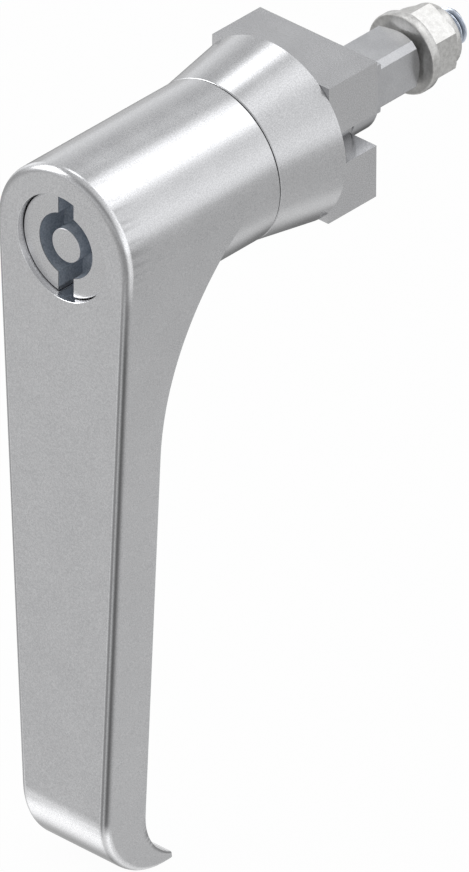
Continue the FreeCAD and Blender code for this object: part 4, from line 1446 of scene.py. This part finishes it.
@dataclass
class Studio:
    """Camera, floor and light."""

    lens_mm: float = 880.0
    sensor_mm: float = 36.0
    camera_mm: Triple = (1703.31, -1887.09, 1548.06)
    azimuth_deg: float = 42.1794
    elevation_deg: float = 32.1653
    roll_deg: float = 0.1690
    clip_m: Pair = (0.1, 20.0)

    floor_z_mm: float = -104.4
    floor_half_m: float = 3.0
    paint_patch_m: float = 1.0 / 3.0
    paint_greys: Pair = (0.59, 0.61)
    paint_span: Pair = (0.3, 0.7)  # noise values between which the grey changes
    paint_roughness: float = 0.8
    seen_share: float = 0.97
    mirrored_share: float = 0.80

    # painted light and shade that only reflections see on the floor: levels, and in metres where
    # smooth steps start and end
    back_level: Tuple[float, ...] = (0.13, -0.03, 0.68, 0.82)
    strip_y: Tuple[Pair, Pair] = ((-0.058, -0.052), (-0.039, -0.044))
    strip_x: Tuple[Pair, Pair] = ((-0.06, -0.04), (0.03, 0.015))
    strip_light: float = 0.34
    patch_place: Pair = (0.038, 0.052)
    patch_radius: Pair = (0.036, 0.010)
    patch_light: float = 0.3
    # a painted dark patch that reflections see behind the latch to the left
    shade_x: Pair = (0.02, -0.02)
    shade_y: Pair = (0.03, 0.07)
    shade_radius: Pair = (0.36, 0.26)
    shade_depth: float = 0.64

    key_way: Triple = (-0.734, -0.424, 0.530)
    key_target_m: Triple = (0.0, -0.02, -0.045)
    key_power: float = 0.95
    key_size: float = 0.3
    key_distance: float = 0.5

    tint: Rgb = (0.985, 0.99, 1.0)
    ambient: float = 0.66
    horizon: float = 0.45
    horizon_span: Pair = (0.12, 0.55)
    glows: Tuple[Glow, ...] = (
        Glow((0.156, 0.624, 0.766), 3.0, 23.0, 1.65),
        Glow((-0.406, 0.406, 0.819), 6.0, 12.5, 2.2),
        Glow((0.60, 0.50, 0.50), 8.0, 40.0, 0.40),
    )

    def build(self) -> None:
        """Sets up everything that isn't the latch."""
        self.camera()
        self.floor()
        self.key()
        self.world()
        bpy.context.scene.view_settings.view_transform = "Standard"

    def camera(self) -> None:
        """A long lens, placed so that the latch's edges fall where the photograph has them."""
        a, e, r = (math.radians(v) for v in (self.azimuth_deg, self.elevation_deg, self.roll_deg))
        back = Vector((math.sin(a) * math.cos(e), -math.cos(a) * math.cos(e), math.sin(e)))
        level = Vector((math.cos(a), math.sin(a), 0.0))
        right = level * math.cos(r) + back.cross(level) * math.sin(r)
        turn = Matrix((right, back.cross(right), back)).transposed()
        data = bpy.data.cameras.new("camera")
        data.lens, data.sensor_width = self.lens_mm, self.sensor_mm
        data.clip_start, data.clip_end = self.clip_m
        camera = bpy.data.objects.new("camera", data)
        camera.location = Vector(self.camera_mm) * MM
        camera.rotation_euler = turn.to_euler()
        bpy.context.scene.collection.objects.link(camera)
        bpy.context.scene.camera = camera

    def key(self) -> None:
        """A soft box in front, to the left."""
        data = bpy.data.lights.new("key", "AREA")
        data.energy, data.size = self.key_power, self.key_size
        lamp = bpy.data.objects.new("key", data)
        way = Vector(self.key_way).normalized()
        lamp.location = Vector(self.key_target_m) + way * self.key_distance
        lamp.rotation_euler = way.to_track_quat("Z", "Y").to_euler()
        bpy.context.scene.collection.objects.link(lamp)

    def floor(self) -> None:
        """A plain pale floor that keeps the latch's shadow."""
        mesh = bpy.data.meshes.new("floor")
        half, z = self.floor_half_m, self.floor_z_mm * MM
        corners = [(-half, -half, z), (half, -half, z), (half, half, z), (-half, half, z)]
        mesh.from_pydata(corners, [], [(0, 1, 2, 3)])
        floor = bpy.data.objects.new("floor", mesh)
        bpy.context.scene.collection.objects.link(floor)
        mesh.materials.append(self.floor_paint())

    def floor_paint(self) -> bpy.types.Material:
        """Pale paint that looks white to the camera and lit to reflections.

        Returns:
            The material.
        """
        material = bpy.data.materials.new("floor_paint")
        material.use_nodes = True
        graph = Graph(material.node_tree)
        place = graph.node("ShaderNodeTexCoord", out="Object")
        tone = graph.noise(place, self.paint_patch_m).ramp(*self.paint_span)
        colour = graph.blend(tone, *((grey,) * 3 for grey in self.paint_greys))
        values = {"Base Color": colour, "Roughness": self.paint_roughness}
        paint = graph.node("ShaderNodeBsdfPrincipled", values)
        seen, mirrored, through = (
            graph.node("ShaderNodeLightPath", out=f"Is {kind} Ray")
            for kind in ("Camera", "Glossy", "Transmission")
        )
        # to reflections the floor glows, with painted light and shade
        level = seen + (1.0 - seen) * self.mirrored_floor_light(*graph.axes(place)[:2])
        light = graph.node("ShaderNodeEmission", {"Color": WHITE, "Strength": level})
        share = seen * self.seen_share + mirrored.greatest(through) * self.mirrored_share
        mixed = graph.node("ShaderNodeMixShader", {0: share, 1: paint, 2: light})
        graph.end("ShaderNodeOutputMaterial", mixed)
        return material

    def mirrored_floor_light(self, x: Wire, y: Wire) -> Wire:
        """How bright the floor is to reflections.

        It has a painted white strip before the toe, a painted light patch behind it to the right
        and a painted dark patch behind it to the left, standing in for light and shade.

        Args:
            x: Place to the right.
            y: Place to the back.

        Returns:
            The level, 1 for white.
        """
        (front, rear), (left, right) = self.strip_y, self.strip_x
        strip = y.ramp(*front) * y.ramp(*rear) * x.ramp(*left) * x.ramp(*right)
        aside, behind = self.patch_place
        patch = (x - aside).diagonal(y - behind).ramp(*self.patch_radius)
        painted_shade = x.ramp(*self.shade_x) * y.ramp(*self.shade_y)
        painted_shade = painted_shade * x.diagonal(y).ramp(*self.shade_radius)
        lit = strip * self.strip_light + patch * self.patch_light
        return y.ramp(*self.back_level) + lit - painted_shade * self.shade_depth

    def world(self) -> None:
        """Soft surroundings: an even level, a lighter horizon and soft boxes."""
        world = bpy.data.worlds.new("studio")
        world.use_nodes = True
        bpy.context.scene.world = world
        graph = Graph(world.node_tree)
        way = graph.node("ShaderNodeTexCoord", out="Generated")
        height = graph.axes(way)[2]
        level = height.ramp(*self.horizon_span, self.horizon, 0.0) + self.ambient
        for glow in self.glows:
            values = {0: way, 1: Vector(glow.towards).normalized()[:]}
            facing = graph.node(
                "ShaderNodeVectorMath", values, out="Value", operation="DOT_PRODUCT"
            )
            near, far = (math.cos(math.radians(a)) for a in (glow.inner_deg, glow.outer_deg))
            level = level + facing.ramp(far, near, 0.0, glow.strength)
        back = graph.node("ShaderNodeBackground", {"Color": self.tint, "Strength": level})
        graph.end("ShaderNodeOutputWorld", back)


def main() -> None:
    """Builds the latch and the studio."""
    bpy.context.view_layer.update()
    Latch().build()
    Studio().build()
    bpy.context.view_layer.update()


if __name__ == "__main__":
    main()
